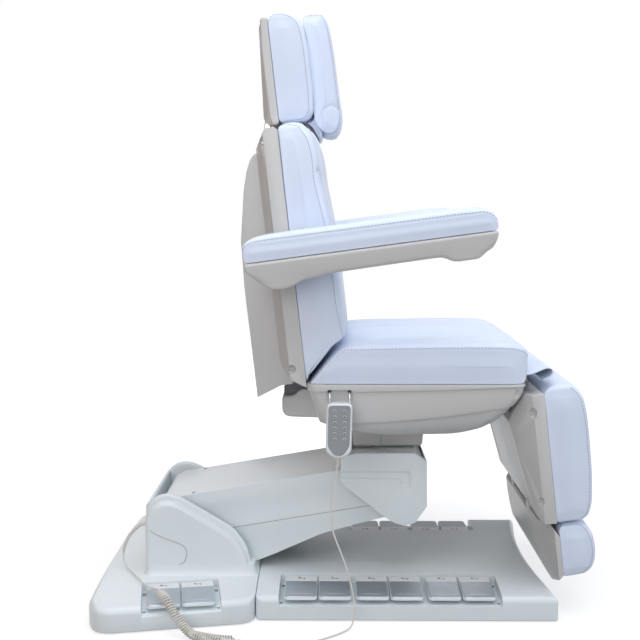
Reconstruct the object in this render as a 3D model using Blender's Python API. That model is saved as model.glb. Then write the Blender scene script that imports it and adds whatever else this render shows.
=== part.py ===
"""Electric facial bed on a lifting arm, modelled piece by piece in millimetres.

X runs from the back of the base to the foot section, Y across the bed and Z up from the floor.
Each moving assembly hangs on an empty that lies on its joint's axis.
"""
import math

import bmesh
import bpy
from mathutils import Matrix, Vector

MM = 0.001
GAP = 0.3

# Base
BASE_BOTTOM = 6.0
BASE_REAR = -617.0
BASE_FLARE = -552.0
BASE_SEAM = -215.0
BASE_FRONT = 522.0
BASE_FRONT_HOLLOW = 34.0
BASE_FLARE_HALF = 387.0
BASE_SEAM_HALF = 331.0
BASE_REAR_HALF = 318.0
BASE_FRONT_HALF = 313.0
SIDE_TOP = 52.0
SIDE_ROUND = 10.0
DECK_TOP = 72.0
DECK_HALF = 139.0
SHELL_WALL = 6.0
SEAM_GAP = 0.6

# Pedals: white label strip inside, metal plate outside
PEDAL_WIDTH = 80.0
PEDAL_STRIP = 33.0
PEDAL_PLATE = 97.0
PEDAL_THICK = 8.0
PEDAL_TOP = 66.0
PEDAL_DROP = 9.0
PEDAL_CORNER = 10.0
PEDAL_GAP = 4.0
PEDAL_PAIR_GAP = 12.0
FRONT_PAIRS = 3
FRONT_PEDALS_START = -146.0
REAR_PEDALS_MIDDLE = -387.0
WELL_FLOOR = 37.0
WELL_MARGIN = 6.0
WELL_LEDGE = 7.0
PEDAL_AXIS_IN = 4.0

# Tower and chassis
TOWER_REAR = -503.0
TOWER_HALF = 190.0
TOWER_RIM_HALF = 172.0
TOWER_STEP = 16.0
TOWER_SLOT_HALF = 160.0
TOWER_WALL = 12.0
CHASSIS_PLATE = 10.0
CHASSIS_HALF = 150.0
CHASSIS_REAR = -560.0
CHASSIS_FRONT = 440.0
FOOT_RADIUS = 24.0
FOOT_X = (-500.0, 380.0)
FOOT_Y = 240.0
UPRIGHT_INNER = 141.0
UPRIGHT_THICK = 12.0
POST = 18.0
ACTUATOR_SIDES = 14
ACTUATOR_PROFILE = ((0.0, 24.0), (0.3, 24.0), (0.32, 17.0), (0.72, 17.0), (0.74, 9.0), (1.0, 9.0))

# Lift arm and yoke
LIFT_X = -435.0
LIFT_Z = 190.0
ARM_LENGTH = 568.0
ARM_REST = 9.6
ARM_HALF = 135.0
ARM_TOP = 66.0
ARM_WALL = 5.0
PIN_RADIUS = 12.0
BOSS_RADIUS = 24.0
BEAM_HALF = 55.0
BEAM_HEIGHT = 56.0
YOKE_HALF = 175.0
YOKE_SLOT_HALF = 150.0
YOKE_RISE = 98.3
YOKE_ROOF = 14.0
BRACKET_THICK = 9.0
TILT_BACK = 85.0
TILT_RISE = 123.3
TILT_EAR_INNER = 103.0
TILT_EAR_THICK = 12.0

# Where the rest pose puts the yoke pin and the tilt pin
LIFT_REACH_X = LIFT_X + ARM_LENGTH * math.cos(math.radians(ARM_REST))
LIFT_REACH_Z = LIFT_Z + ARM_LENGTH * math.sin(math.radians(ARM_REST))
TILT_X = LIFT_REACH_X - TILT_BACK
TILT_Z = LIFT_REACH_Z + TILT_RISE

# Seat
SEAT_REAR = -79.0
SEAT_FRONT = 433.0
SEAT_HALF = 300.0
SEAT_PAD_BOTTOM = 584.0
SEAT_PAD_TOP = 690.0
TUB_TOP = SEAT_PAD_BOTTOM - GAP
TUB_BOTTOM = 443.0
TUB_WALL = 6.0
FRAME_TOP = SEAT_PAD_BOTTOM - GAP
FRAME_PLATE = 8.0
FRAME_HALF = 232.0
WEB_INNER = 85.0
WEB_THICK = 14.0
RECLINE_X = -105.0
RECLINE_Z = 560.0
LEG_X = 453.0
LEG_Z = 570.0
TIE_BACK = 36.0
BRACKET_HALF = 114.0
NECK_FRONT = 204.0
HINGE_ARM_GAP = 2.0
HINGE_ARM_THICK = 12.0

# Backrest and headrest, measured up the back and forward from the recline pin
BACK_LEAN = 6.35
BACK_HALF = 285.0
BACK_PAD_REAR = 16.0
BACK_SHELL_REAR = -20.0
BACK_SLOPE_REAR = -44.0
BACK_SLOPE = 3.25
BACK_COVER_REAR = -112.0
BACK_COVER_HALF = 200.0
BACK_TOP = 632.0
SLANT_GAP = 3.0
COVER_WALL = 5.0
COVER_NOTCH_HALF = 130.0
COVER_NOTCH_TOP = 135.0
HEAD_BAR_Y = 62.0
HEAD_BAR_WIDTH = 22.0
HEAD_BAR_THICK = 6.0
HEAD_AXIS_N = -14.0
HEAD_AXIS_L = 646.0
HEAD_BEND = 621.0
HEAD_TUBE_RADIUS = 8.0
HEAD_HALF = 150.0
HEAD_BOTTOM = 645.0
HEAD_TOP = 912.0
PILLOW_HALF = 138.0

# Armrests, measured along the arm and up from the arm pivot
ARM_PIVOT_N = -20.0
ARM_PIVOT_L = 294.0
ARMREST_TILT = 7.6
ARMREST_INNER = 305.0
ARMREST_OUTER = 393.0
ARMREST_LINE = 30.0
ARMREST_TOP = 90.0
HUB_RADIUS = 30.0

# Leg and foot sections, measured down and forward from the leg pin
LEG_LEAN = 7.0
LEG_HALF = 285.0
LEG_PAD_REAR = 22.0
LEG_RIM_REAR = -7.0
LEG_COVER_HALF = 205.0
FOOT_HALF = 280.0
RAIL_Y = 108.0
RAIL_WIDTH = 16.0
RAIL_NEAR = -17.0
RAIL_FAR = -10.0
LEG_REAR = ((-59.0, -90.0), (-53.0, -124.0), (-44.0, -195.0), (-34.0, -255.0), (-23.0, -315.0),
            (-13.0, -333.0))
LEG_SLOPE = 1.29
FOOT_REAR = ((-7.0, -470.0), (-14.0, -431.0), (-18.0, -385.0), (-18.0, -350.0), (-13.0, -345.5))
FOOT_SLOPE = 2.28
LEG_CROWN = 12.0
RAIL_TOP = 190.0

# Handset and cord
HANDSET_X = -12.0
HANDSET_TOP = 542.0
HANDSET_HEIGHT = 131.0
HANDSET_WIDTH = 61.0
HANDSET_THICK = 26.0
HANDSET_BACK = -SEAT_HALF - 18.0
HOOK_RADIUS = 2.2
HOOK_SPREAD = 47.0
HOOK_RECESS = 3.5
CORD_RADIUS = 2.1
COIL_RADIUS = 9.3
COIL_PITCH = 9.0
POINTS_PER_CURL = 8

# Pad forms
PAD_CROWN = 26.0
PAD_DRAW = 4.0
CHANNEL_DEPTH = 5.0
CHANNEL_HALF = 9.0
CHANNELS = (0.24, 0.58, 0.84)
CROWN_STEPS = (0.0, 0.4, 0.72, 0.92, 1.0)

COLOURS = {
    "vinyl": ((0.66, 0.71, 0.88), 0.45, 0.0),
    "shell": ((0.83, 0.84, 0.83), 0.3, 0.0),
    "steel": ((0.3, 0.31, 0.33), 0.45, 0.9),
    "chrome": ((0.75, 0.76, 0.78), 0.12, 1.0),
    "pedal": ((0.36, 0.38, 0.41), 0.4, 0.6),
    "cord": ((0.72, 0.7, 0.65), 0.5, 0.0),
    "actuator": ((0.08, 0.08, 0.09), 0.5, 0.0),
}


def clear_scene():
    """Remove every object of the scene."""
    for item in list(bpy.data.objects):
        bpy.data.objects.remove(item, do_unlink=True)


def finish_material(name, finish):
    """Material of one sub-part: base colour, roughness and metallic value."""
    colour, roughness, metallic = COLOURS[finish]
    material = bpy.data.materials.new(name + "_finish")
    material.use_nodes = True
    shader = material.node_tree.nodes["Principled BSDF"]
    shader.inputs["Base Color"].default_value = (*colour, 1.0)
    shader.inputs["Roughness"].default_value = roughness
    shader.inputs["Metallic"].default_value = metallic
    return material


def frame(name, x, z, lean=0.0, y=0.0, turn=0.0):
    """Empty on a joint's axis: lean tips its Z axis to the rear, turn is about Z."""
    empty = bpy.data.objects.new(name, None)
    empty.location = Vector((x, y, z)) * MM
    empty.rotation_euler = (0.0, -math.radians(lean), math.radians(turn))
    bpy.context.scene.collection.objects.link(empty)
    return empty


def add(name, build, finish, parent=None):
    """Object of a filled bmesh, with its own material, under an empty."""
    quads = [face for face in build.faces if len(face.verts) == 4]
    bmesh.ops.connect_verts_nonplanar(build, angle_limit=0.0005, faces=quads)
    bmesh.ops.recalc_face_normals(build, faces=build.faces)
    mesh = bpy.data.meshes.new(name)
    build.to_mesh(mesh)
    build.free()
    mesh.transform(Matrix.Scale(MM, 4))
    item = bpy.data.objects.new(name, mesh)
    mesh.materials.append(finish_material(name, finish))
    bpy.context.scene.collection.objects.link(item)
    item.parent = parent
    return item


def combine(item, helper, operation):
    """Boolean of an object with a hidden helper shape."""
    helper.hide_render = True
    helper.display_type = "WIRE"
    modifier = item.modifiers.new(helper.name, "BOOLEAN")
    modifier.operation = operation
    modifier.object = helper
    return item


def cut(item, *helpers):
    """Take helper shapes away from an object."""
    for helper in helpers:
        combine(item, helper, "DIFFERENCE")
    return item


def join(item, *helpers):
    """Weld helper shapes onto an object."""
    for helper in helpers:
        combine(item, helper, "UNION")
    return item


def round_edges(item, width, segments=2):
    """Round the sharp edges of an object."""
    bevel = item.modifiers.new("round", "BEVEL")
    bevel.width = width * MM
    bevel.segments = segments
    bevel.limit_method = "ANGLE"
    bevel.angle_limit = math.radians(40.0)
    return item


def loft(name, rings, finish, parent=None):
    """Closed body through rings of as many points each, with flat ends."""
    build = bmesh.new()
    loops = [[build.verts.new(point) for point in ring] for ring in rings]
    count = len(loops[0])
    for first, second in zip(loops, loops[1:]):
        for i in range(count):
            j = (i + 1) % count
            build.faces.new((first[i], first[j], second[j], second[i]))
    build.faces.new(loops[0])
    build.faces.new(loops[-1])
    return add(name, build, finish, parent)


def side_prism(name, outline, y0, y1, finish, parent=None):
    """Side outline of (x, z) points, pulled across from y0 to y1."""
    rings = [[(x, y, z) for x, z in outline] for y in (y0, y1)]
    return loft(name, rings, finish, parent)


def plan_prism(name, outline, z0, z1, finish, parent=None):
    """Plan outline of (x, y) points, pulled up from z0 to z1."""
    rings = [[(x, y, z) for x, y in outline] for z in (z0, z1)]
    return loft(name, rings, finish, parent)


def block(name, xs, ys, zs, finish, parent=None):
    """Box between three pairs of limits."""
    outline = [(xs[0], zs[0]), (xs[1], zs[0]), (xs[1], zs[1]), (xs[0], zs[1])]
    return side_prism(name, outline, ys[0], ys[1], finish, parent)


def arc(x, z, radius, start, end, steps):
    """Points of a round stretch, angles in degrees from the forward direction."""
    angles = [math.radians(start + (end - start) * i / steps) for i in range(steps + 1)]
    return [(x + radius * math.cos(a), z + radius * math.sin(a)) for a in angles]


def rod(name, x, z, radius, y0, y1, finish, parent=None, sides=20):
    """Round bar across the bed."""
    return side_prism(name, arc(x, z, radius, 0, 360 - 360 / sides, sides - 1), y0, y1, finish, parent)


def turned(name, start, end, profile, finish, parent=None, sides=ACTUATOR_SIDES):
    """Round body from start to end: profile gives (share of the length, radius)."""
    axis = Vector(end) - Vector(start)
    across = Vector((0.0, 1.0, 0.0))
    other = axis.cross(across).normalized()
    rings = []
    for share, radius in profile:
        centre = Vector(start) + axis * share
        angles = [2 * math.pi * i / sides for i in range(sides)]
        rings.append([centre + radius * (math.cos(a) * across + math.sin(a) * other) for a in angles])
    return loft(name, rings, finish, parent)


def groove(position, half, channels):
    """Depth of the sewn channels at one place across a pad."""
    nearest = min((abs(abs(position) - c * half) for c in channels), default=CHANNEL_HALF)
    return CHANNEL_DEPTH * max(0.0, 1.0 - nearest / CHANNEL_HALF)


def pad_section(rear, front, half, crown, channels):
    """Points (forward, across) round one section of a pad: crowned front, drawn-in sides."""
    crown = min(crown, 0.4 * (front - rear))
    edge = front - crown
    places = [half * step for step in CROWN_STEPS]
    for channel in channels:
        places += [channel * half + shift for shift in (-CHANNEL_HALF, 0.0, CHANNEL_HALF)]
    right = sorted(places)
    across = [-y for y in reversed(right)] + right[1:]
    depth = min(1.0, (front - rear) / (10.0 * CHANNEL_DEPTH))
    face = [(edge + crown * (1.0 - abs(y / half) ** 4) - depth * groove(y, half, channels), y) for y in across]
    draw = min(PAD_DRAW, 0.2 * (front - rear))
    middle = 0.5 * (rear + edge)
    return [(rear, -half + draw), (middle, -half + draw)] + face + [(middle, half - draw), (rear, half - draw)]


def pad(name, stations, finish, parent, channels=(), crown=PAD_CROWN, lying=False):
    """Upholstered pad through stations of (place along, rear, front, half width)."""
    rings = []
    for along, rear, front, half in stations:
        section = pad_section(rear, front, half, crown, channels)
        rings.append([(along, y, n) if lying else (n, y, along) for n, y in section])
    return loft(name, rings, finish, parent)


def smooth_path(points, step):
    """Evenly spaced points of a smooth curve through the route's points."""
    route = [Vector(p) for p in points]
    ends = [2 * route[0] - route[1]] + route + [2 * route[-1] - route[-2]]
    fine = []
    for a, b, c, d in zip(ends, ends[1:], ends[2:], ends[3:]):
        for i in range(24):
            t = i / 24
            fine.append(0.5 * (2 * b + (c - a) * t + (2 * a - 5 * b + 4 * c - d) * t ** 2
                               + (3 * b - a - 3 * c + d) * t ** 3))
    fine.append(route[-1])
    lengths = [0.0]
    for first, second in zip(fine, fine[1:]):
        lengths.append(lengths[-1] + (second - first).length)
    count = max(2, round(lengths[-1] / step))
    result = []
    index = 0
    for i in range(count + 1):
        target = lengths[-1] * i / count
        while index < len(fine) - 2 and lengths[index + 1] < target:
            index += 1
        span = lengths[index + 1] - lengths[index]
        result.append(fine[index].lerp(fine[index + 1], (target - lengths[index]) / span))
    return result


def tube(name, points, radius, resolution, finish):
    """Round cord along points, closed at both ends."""
    curve = bpy.data.curves.new(name, "CURVE")
    curve.dimensions = "3D"
    curve.bevel_depth = radius * MM
    curve.bevel_resolution = resolution
    curve.use_fill_caps = True
    curve.render_resolution_u = 0
    spline = curve.splines.new("POLY")
    spline.points.add(len(points) - 1)
    for slot, point in zip(spline.points, points):
        slot.co = (*(Vector(point) * MM), 1.0)
    curve.materials.append(finish_material(name, finish))
    item = bpy.data.objects.new(name, curve)
    bpy.context.scene.collection.objects.link(item)
    return item


def curl_points(path, radius, pitch):
    """Helix round a path, drawn in to the path at both ends, which run straight."""
    lengths = [0.0]
    for first, second in zip(path, path[1:]):
        lengths.append(lengths[-1] + (second - first).length)
    curls = round(lengths[-1] / pitch)
    count = curls * POINTS_PER_CURL
    result = []
    index = 0
    for i in range(count + 1):
        target = lengths[-1] * i / count
        while index < len(path) - 2 and lengths[index + 1] < target:
            index += 1
        span = lengths[index + 1] - lengths[index]
        centre = path[index].lerp(path[index + 1], (target - lengths[index]) / span)
        along = (path[index + 1] - path[index]).normalized()
        side = along.cross(Vector((0.0, 0.0, 1.0))).normalized()
        up = side.cross(along)
        swell = min(1.0, min(i, count - i) / POINTS_PER_CURL)
        angle = 2 * math.pi * i / POINTS_PER_CURL
        result.append(centre + swell * radius * (math.cos(angle) * side + math.sin(angle) * up))
    lead = 2 * CORD_RADIUS
    first = (path[0] - path[1]).normalized() * lead
    last = (path[-1] - path[-2]).normalized() * lead
    return [path[0] + first] + result + [path[-1] + last]


def least_gap(points, radius):
    """Smallest clear distance between stretches of a wound cord, measured on its points."""
    reach = POINTS_PER_CURL // 2
    best = min((points[i] - points[j]).length for i in range(len(points))
               for j in range(i + reach, min(len(points), i + 3 * POINTS_PER_CURL)))
    return best - 2 * radius


def base_section(x, half, deck, lift, inset):
    """Cross-section of the base at x, as a closed ring, set in by a wall for its hollow."""
    floor = BASE_BOTTOM if inset == 0.0 else -1.0
    side = half - inset
    if inset == 0.0:
        right = [(side, floor), (side, SIDE_TOP + lift), (side - SIDE_ROUND, SIDE_TOP + lift + SIDE_ROUND),
                 (DECK_HALF, deck)]
    else:
        ceiling = WELL_FLOOR - inset
        inner = DECK_HALF + WELL_MARGIN
        right = [(side, floor), (side, ceiling), (inner + SHELL_WALL, ceiling), (inner - SHELL_WALL, deck - inset)]
    return [(x, y, z) for y, z in right] + [(x, -y, z) for y, z in reversed(right)]


def side_half(x):
    """Half width of the rear base shell at a place along the base."""
    share = (BASE_SEAM - x) / (BASE_SEAM - BASE_FLARE)
    return BASE_SEAM_HALF + share * (BASE_FLARE_HALF - BASE_SEAM_HALF)


def pedal_sites():
    """Name, hinge middle and turn of each pedal, counted from the rear on each side."""
    depth = PEDAL_STRIP + PEDAL_PLATE
    flare = math.degrees(math.atan2(BASE_FLARE_HALF - BASE_SEAM_HALF, BASE_SEAM - BASE_FLARE))
    pitch = PEDAL_WIDTH + PEDAL_GAP
    sites = []
    for side, sign in (("right", -1.0), ("left", 1.0)):
        turn = 180.0 if sign < 0 else 0.0
        rear_turn = turn - sign * flare
        outward = Vector((math.sin(math.radians(flare)), sign * math.cos(math.radians(flare)), 0.0))
        along = Vector((math.cos(math.radians(flare)), -sign * math.sin(math.radians(flare)), 0.0))
        edge = Vector((REAR_PEDALS_MIDDLE, sign * side_half(REAR_PEDALS_MIDDLE), 0.0))
        middle = edge - outward * depth
        for index, shift in ((1, -0.5), (2, 0.5)):
            place = middle + along * shift * pitch
            sites.append((f"pedal_rear_{side}_{index}", place.x, place.y, rear_turn))
        for index in range(2 * FRONT_PAIRS):
            pair = index // 2
            x = FRONT_PEDALS_START + PEDAL_WIDTH / 2 + index * pitch + pair * (PEDAL_PAIR_GAP - PEDAL_GAP)
            sites.append((f"pedal_front_{side}_{index + 1}", x, sign * (BASE_FRONT_HALF - depth), turn))
    return sites


def pedal_well(name, x0, x1, parent):
    """Space that a row of pedals needs, in the row's own frame, with the ledge left standing."""
    depth = PEDAL_STRIP + PEDAL_PLATE
    outline = [(-WELL_MARGIN / 2, PEDAL_TOP - PEDAL_THICK - GAP), (PEDAL_AXIS_IN, PEDAL_TOP - PEDAL_THICK - GAP),
               (PEDAL_AXIS_IN + WELL_LEDGE, WELL_FLOOR), (depth + 4 * WELL_MARGIN, WELL_FLOOR),
               (depth + 4 * WELL_MARGIN, 2 * DECK_TOP), (-WELL_MARGIN / 2, 2 * DECK_TOP)]
    rings = [[(x, y, z) for y, z in outline] for x in (x0 - WELL_MARGIN, x1 + WELL_MARGIN)]
    return loft(name, rings, "shell", parent)


def make_pedals():
    """The sixteen pedals, each under an empty on its own hinge line."""
    width = PEDAL_WIDTH / 2
    depth = PEDAL_STRIP + PEDAL_PLATE
    corner = PEDAL_CORNER
    outline = [(-width, 0.0), (width, 0.0), (width, PEDAL_STRIP), (width, depth - corner), (width - corner, depth),
               (corner - width, depth), (-width, depth - corner), (-width, PEDAL_STRIP)]
    low = PEDAL_TOP - PEDAL_THICK
    for name, x, y, turn in pedal_sites():
        turn_rad = math.radians(turn)
        axis_x = x - math.sin(turn_rad) * PEDAL_AXIS_IN
        axis_y = y + math.cos(turn_rad) * PEDAL_AXIS_IN
        hinge = frame(name + "_hinge", axis_x, low, y=axis_y, turn=turn)
        build = bmesh.new()
        levels = []
        for level in (0.0, -PEDAL_THICK):
            levels.append([build.verts.new((px, py - PEDAL_AXIS_IN, PEDAL_TOP - low + level
                                            - PEDAL_DROP * max(0.0, py - PEDAL_STRIP) / PEDAL_PLATE))
                           for px, py in outline])
        for level in levels:
            build.faces.new((level[0], level[1], level[2], level[7]))
            build.faces.new((level[2], level[3], level[4], level[5], level[6], level[7]))
        for i in range(len(outline)):
            j = (i + 1) % len(outline)
            build.faces.new((levels[0][i], levels[0][j], levels[1][j], levels[1][i]))
        add(name, build, "pedal", hinge)


def front_wells():
    """Hidden shapes of the two front pedal wells."""
    sites = [site for site in pedal_sites() if "front" in site[0]]
    half = PEDAL_WIDTH / 2
    wells = []
    for side in ("right", "left"):
        row = [site for site in sites if side in site[0]]
        empty = frame(f"front_well_{side}", 0.0, 0.0, y=row[0][2], turn=row[0][3])
        ends = sorted(site[1] * (-1.0 if side == "right" else 1.0) for site in row)
        wells.append(pedal_well(f"front_well_cut_{side}", ends[0] - half, ends[-1] + half, empty))
    return wells


def rear_wells():
    """Hidden shapes of the two rear pedal wells."""
    wells = []
    for side in ("right", "left"):
        row = [site for site in pedal_sites() if "rear" in site[0] and side in site[0]]
        middle = [(row[0][i] + row[1][i]) / 2 for i in (1, 2)]
        empty = frame(f"rear_well_{side}", middle[0], 0.0, y=middle[1], turn=row[0][3])
        reach = PEDAL_WIDTH + PEDAL_GAP / 2
        wells.append(pedal_well(f"rear_well_cut_{side}", -reach, reach, empty))
    return wells


def make_front_shell():
    """Low front deck with a hollow front edge and the six-pedal wells."""
    start = BASE_SEAM + SEAM_GAP
    nose = BASE_FRONT - SIDE_ROUND
    rings = [base_section(start, BASE_FRONT_HALF, DECK_TOP, 0.0, 0.0),
             base_section(nose - 90.0, BASE_FRONT_HALF, DECK_TOP, 0.0, 0.0),
             base_section(nose, BASE_FRONT_HALF - 3.0, DECK_TOP - 5.0, 0.0, 0.0),
             base_section(BASE_FRONT, BASE_FRONT_HALF - 14.0, DECK_TOP - 16.0, -9.0, 0.0)]
    shell = loft("base_front_shell", rings, "shell")
    inner = [base_section(start - 5.0, BASE_FRONT_HALF, DECK_TOP, 0.0, SHELL_WALL),
             base_section(BASE_FRONT - 80.0, BASE_FRONT_HALF, DECK_TOP, 0.0, SHELL_WALL)]
    hollow = loft("front_hollow", inner, "shell")
    post = block("front_post", (FOOT_X[1] - POST, FOOT_X[1] + POST), (-POST, POST),
                 (BASE_BOTTOM + CHASSIS_PLATE + GAP, DECK_TOP - SHELL_WALL / 2), "shell")
    radius = (BASE_FRONT_HALF ** 2 + BASE_FRONT_HOLLOW ** 2) / (2 * BASE_FRONT_HOLLOW)
    centre = BASE_FRONT - BASE_FRONT_HOLLOW + radius
    bay = plan_prism("front_bay", arc(centre, 0.0, radius, 150, 210, 24) + [(centre, -radius), (centre, radius)],
                     -10.0, 2 * DECK_TOP, "shell")
    cut(shell, hollow, bay, *front_wells())
    return join(shell, post)


def tower_outline(low, shift):
    """Side outline of the tower: upright back, round head and a long slope to the front."""
    rear = TOWER_REAR
    top = LIFT_Z + 86.0 - shift
    return [(rear, low), (rear, top - 36.0), (rear + 14.0, top - 16.0), (rear + 36.0, top - 3.0),
            (rear + 62.0, top), (rear + 92.0, top - 10.0), (rear + 224.0, top - 90.0),
            (rear + 257.0, top - 136.0), (rear + 274.0, low + 20.0), (rear + 277.0, low)]


def make_rear_shell():
    """Flared rear shell with the tower's two cheeks, which carry the lift arm between them."""
    low = DECK_TOP - 14.0
    rings = [base_section(BASE_REAR, BASE_REAR_HALF, DECK_TOP - 16.0, -10.0, 0.0),
             base_section(BASE_REAR + 18.0, BASE_REAR_HALF + 40.0, DECK_TOP - 8.0, 0.0, 0.0),
             base_section(BASE_FLARE, BASE_FLARE_HALF, DECK_TOP - 2.0, 0.0, 0.0),
             base_section(BASE_SEAM - SEAM_GAP, side_half(BASE_SEAM - SEAM_GAP), DECK_TOP, 0.0, 0.0)]
    shell = loft("base_rear_shell", rings, "shell")
    inner = [base_section(BASE_REAR + 40.0, BASE_REAR_HALF + 30.0, DECK_TOP - 8.0, 0.0, SHELL_WALL),
             base_section(BASE_FLARE, BASE_FLARE_HALF, DECK_TOP - 2.0, 0.0, SHELL_WALL),
             base_section(BASE_SEAM + 5.0, BASE_SEAM_HALF, DECK_TOP, 0.0, SHELL_WALL)]
    hollow = loft("rear_hollow", inner, "shell")
    post = block("rear_post", (CHASSIS_REAR + 4.0, CHASSIS_REAR + 4.0 + POST), (-2 * POST, 2 * POST),
                 (BASE_BOTTOM + CHASSIS_PLATE + GAP, DECK_TOP - SHELL_WALL), "shell")
    steps = ((TOWER_HALF, TOWER_STEP), (TOWER_RIM_HALF + 4.0, TOWER_STEP), (TOWER_RIM_HALF, 0.0))
    across = [(-y, drop) for y, drop in steps] + [(y, drop) for y, drop in reversed(steps)]
    rings = [[(x, y, z) for x, z in tower_outline(low, drop)] for y, drop in across]
    cheeks = loft("tower_cheeks", rings, "shell")
    slot = block("tower_slot", (TOWER_REAR + TOWER_WALL, BASE_SEAM - 8.0), (-TOWER_SLOT_HALF, TOWER_SLOT_HALF),
                 (-10.0, 2 * LIFT_Z), "shell")
    join(shell, cheeks)
    cut(shell, hollow, slot, *rear_wells())
    return join(shell, post)


def make_chassis():
    """Steel floor frame with its floor pads and the two uprights of the lift pin."""
    bottom = BASE_BOTTOM
    top = bottom + CHASSIS_PLATE
    wide = FOOT_Y + FOOT_RADIUS
    arm = FOOT_RADIUS + 4.0
    half = CHASSIS_HALF
    right = [(CHASSIS_REAR, half), (FOOT_X[0] - arm, half), (FOOT_X[0] - arm, wide), (FOOT_X[0] + arm, wide),
             (FOOT_X[0] + arm, half), (FOOT_X[1] - arm, half), (FOOT_X[1] - arm, wide), (FOOT_X[1] + arm, wide),
             (FOOT_X[1] + arm, half), (CHASSIS_FRONT, half)]
    outline = right + [(x, -y) for x, y in reversed(right)]
    chassis = plan_prism("base_chassis", outline, bottom, top, "steel")
    pads = []
    for x in FOOT_X:
        for y in (-FOOT_Y, FOOT_Y):
            ring = [(px, py) for px, py in arc(x, y, FOOT_RADIUS, 0, 345, 23)]
            pads.append(plan_prism(f"floor_pad_{len(pads)}", ring, 0.0, bottom + 1.0, "steel"))
    plates = []
    for sign in (-1.0, 1.0):
        head = arc(LIFT_X, LIFT_Z, BOSS_RADIUS + 8.0, 180, 0, 10)
        outline = [(LIFT_X + 50.0, top - 1.0), (LIFT_X - 50.0, top - 1.0)] + head
        limits = sorted((sign * UPRIGHT_INNER, sign * (UPRIGHT_INNER + UPRIGHT_THICK)))
        plates.append(side_prism(f"upright_{sign:+.0f}", outline, limits[0], limits[1], "steel"))
    join(chassis, *pads, *plates)
    return cut(chassis, rod("lift_bore", LIFT_X, LIFT_Z, PIN_RADIUS + GAP, -300.0, 300.0, "steel"))


def make_lift(arm):
    """Lift arm: steel beam between its two pins, moulded cover with the deep skirt."""
    reach = UPRIGHT_INNER + UPRIGHT_THICK
    rod("lift_pin", LIFT_X, LIFT_Z, PIN_RADIUS, -reach, reach, "steel")
    beam = block("arm_beam", (0.0, ARM_LENGTH), (-BEAM_HALF, BEAM_HALF), (-BEAM_HEIGHT / 2, BEAM_HEIGHT / 2),
                 "steel", arm)
    hollow = block("beam_hollow", (BOSS_RADIUS + 6.0, ARM_LENGTH - BOSS_RADIUS - 6.0),
                   (-BEAM_HALF + ARM_WALL, BEAM_HALF - ARM_WALL), (-BEAM_HEIGHT, BEAM_HEIGHT / 2 - ARM_WALL),
                   "steel", arm)
    boss = UPRIGHT_INNER - 1.0
    bosses = [rod(f"boss_{i}", x, 0.0, BOSS_RADIUS, -boss, boss, "steel", arm)
              for i, x in enumerate((0.0, ARM_LENGTH))]
    bores = [rod(f"bore_{i}", x, 0.0, PIN_RADIUS + GAP, -300.0, 300.0, "steel", arm)
             for i, x in enumerate((0.0, ARM_LENGTH))]
    join(cut(beam, hollow), *bosses)
    cut(beam, *bores)
    nose = ARM_LENGTH + 57.0
    under = [(ARM_LENGTH + 30.0, -70.0), (537.0, -75.0), (446.0, -82.0), (365.0, -92.0), (238.0, -125.0),
             (181.0, -137.0), (150.0, -138.0), (70.0, -100.0), (0.0, -52.0)]
    outline = [(-40.0, 30.0), (-26.0, 56.0), (0.0, ARM_TOP), (ARM_LENGTH + 20.0, ARM_TOP), (nose - 6.0, 45.0),
               (nose, 18.0), (nose, -30.0)] + under + [(-36.0, -34.0), (-50.0, 0.0)]
    cover = side_prism("arm_cover", outline, -ARM_HALF, ARM_HALF, "shell", arm)
    wall = ARM_WALL
    inside = [(-34.0, 27.0), (-22.0, 51.0), (0.0, ARM_TOP - wall), (ARM_LENGTH + 18.0, ARM_TOP - wall),
              (nose - wall - 5.0, 42.0), (nose - wall, 16.0), (nose - wall, -150.0), (-44.0, -150.0), (-44.0, 0.0)]
    inner = side_prism("arm_inside", inside, -ARM_HALF + wall, ARM_HALF - wall, "shell", arm)
    sleeves = [rod(f"sleeve_{i}", x, 0.0, BOSS_RADIUS + GAP, -300.0, 300.0, "shell", arm)
               for i, x in enumerate((0.0, ARM_LENGTH))]
    return cut(cover, inner, *sleeves)


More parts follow.
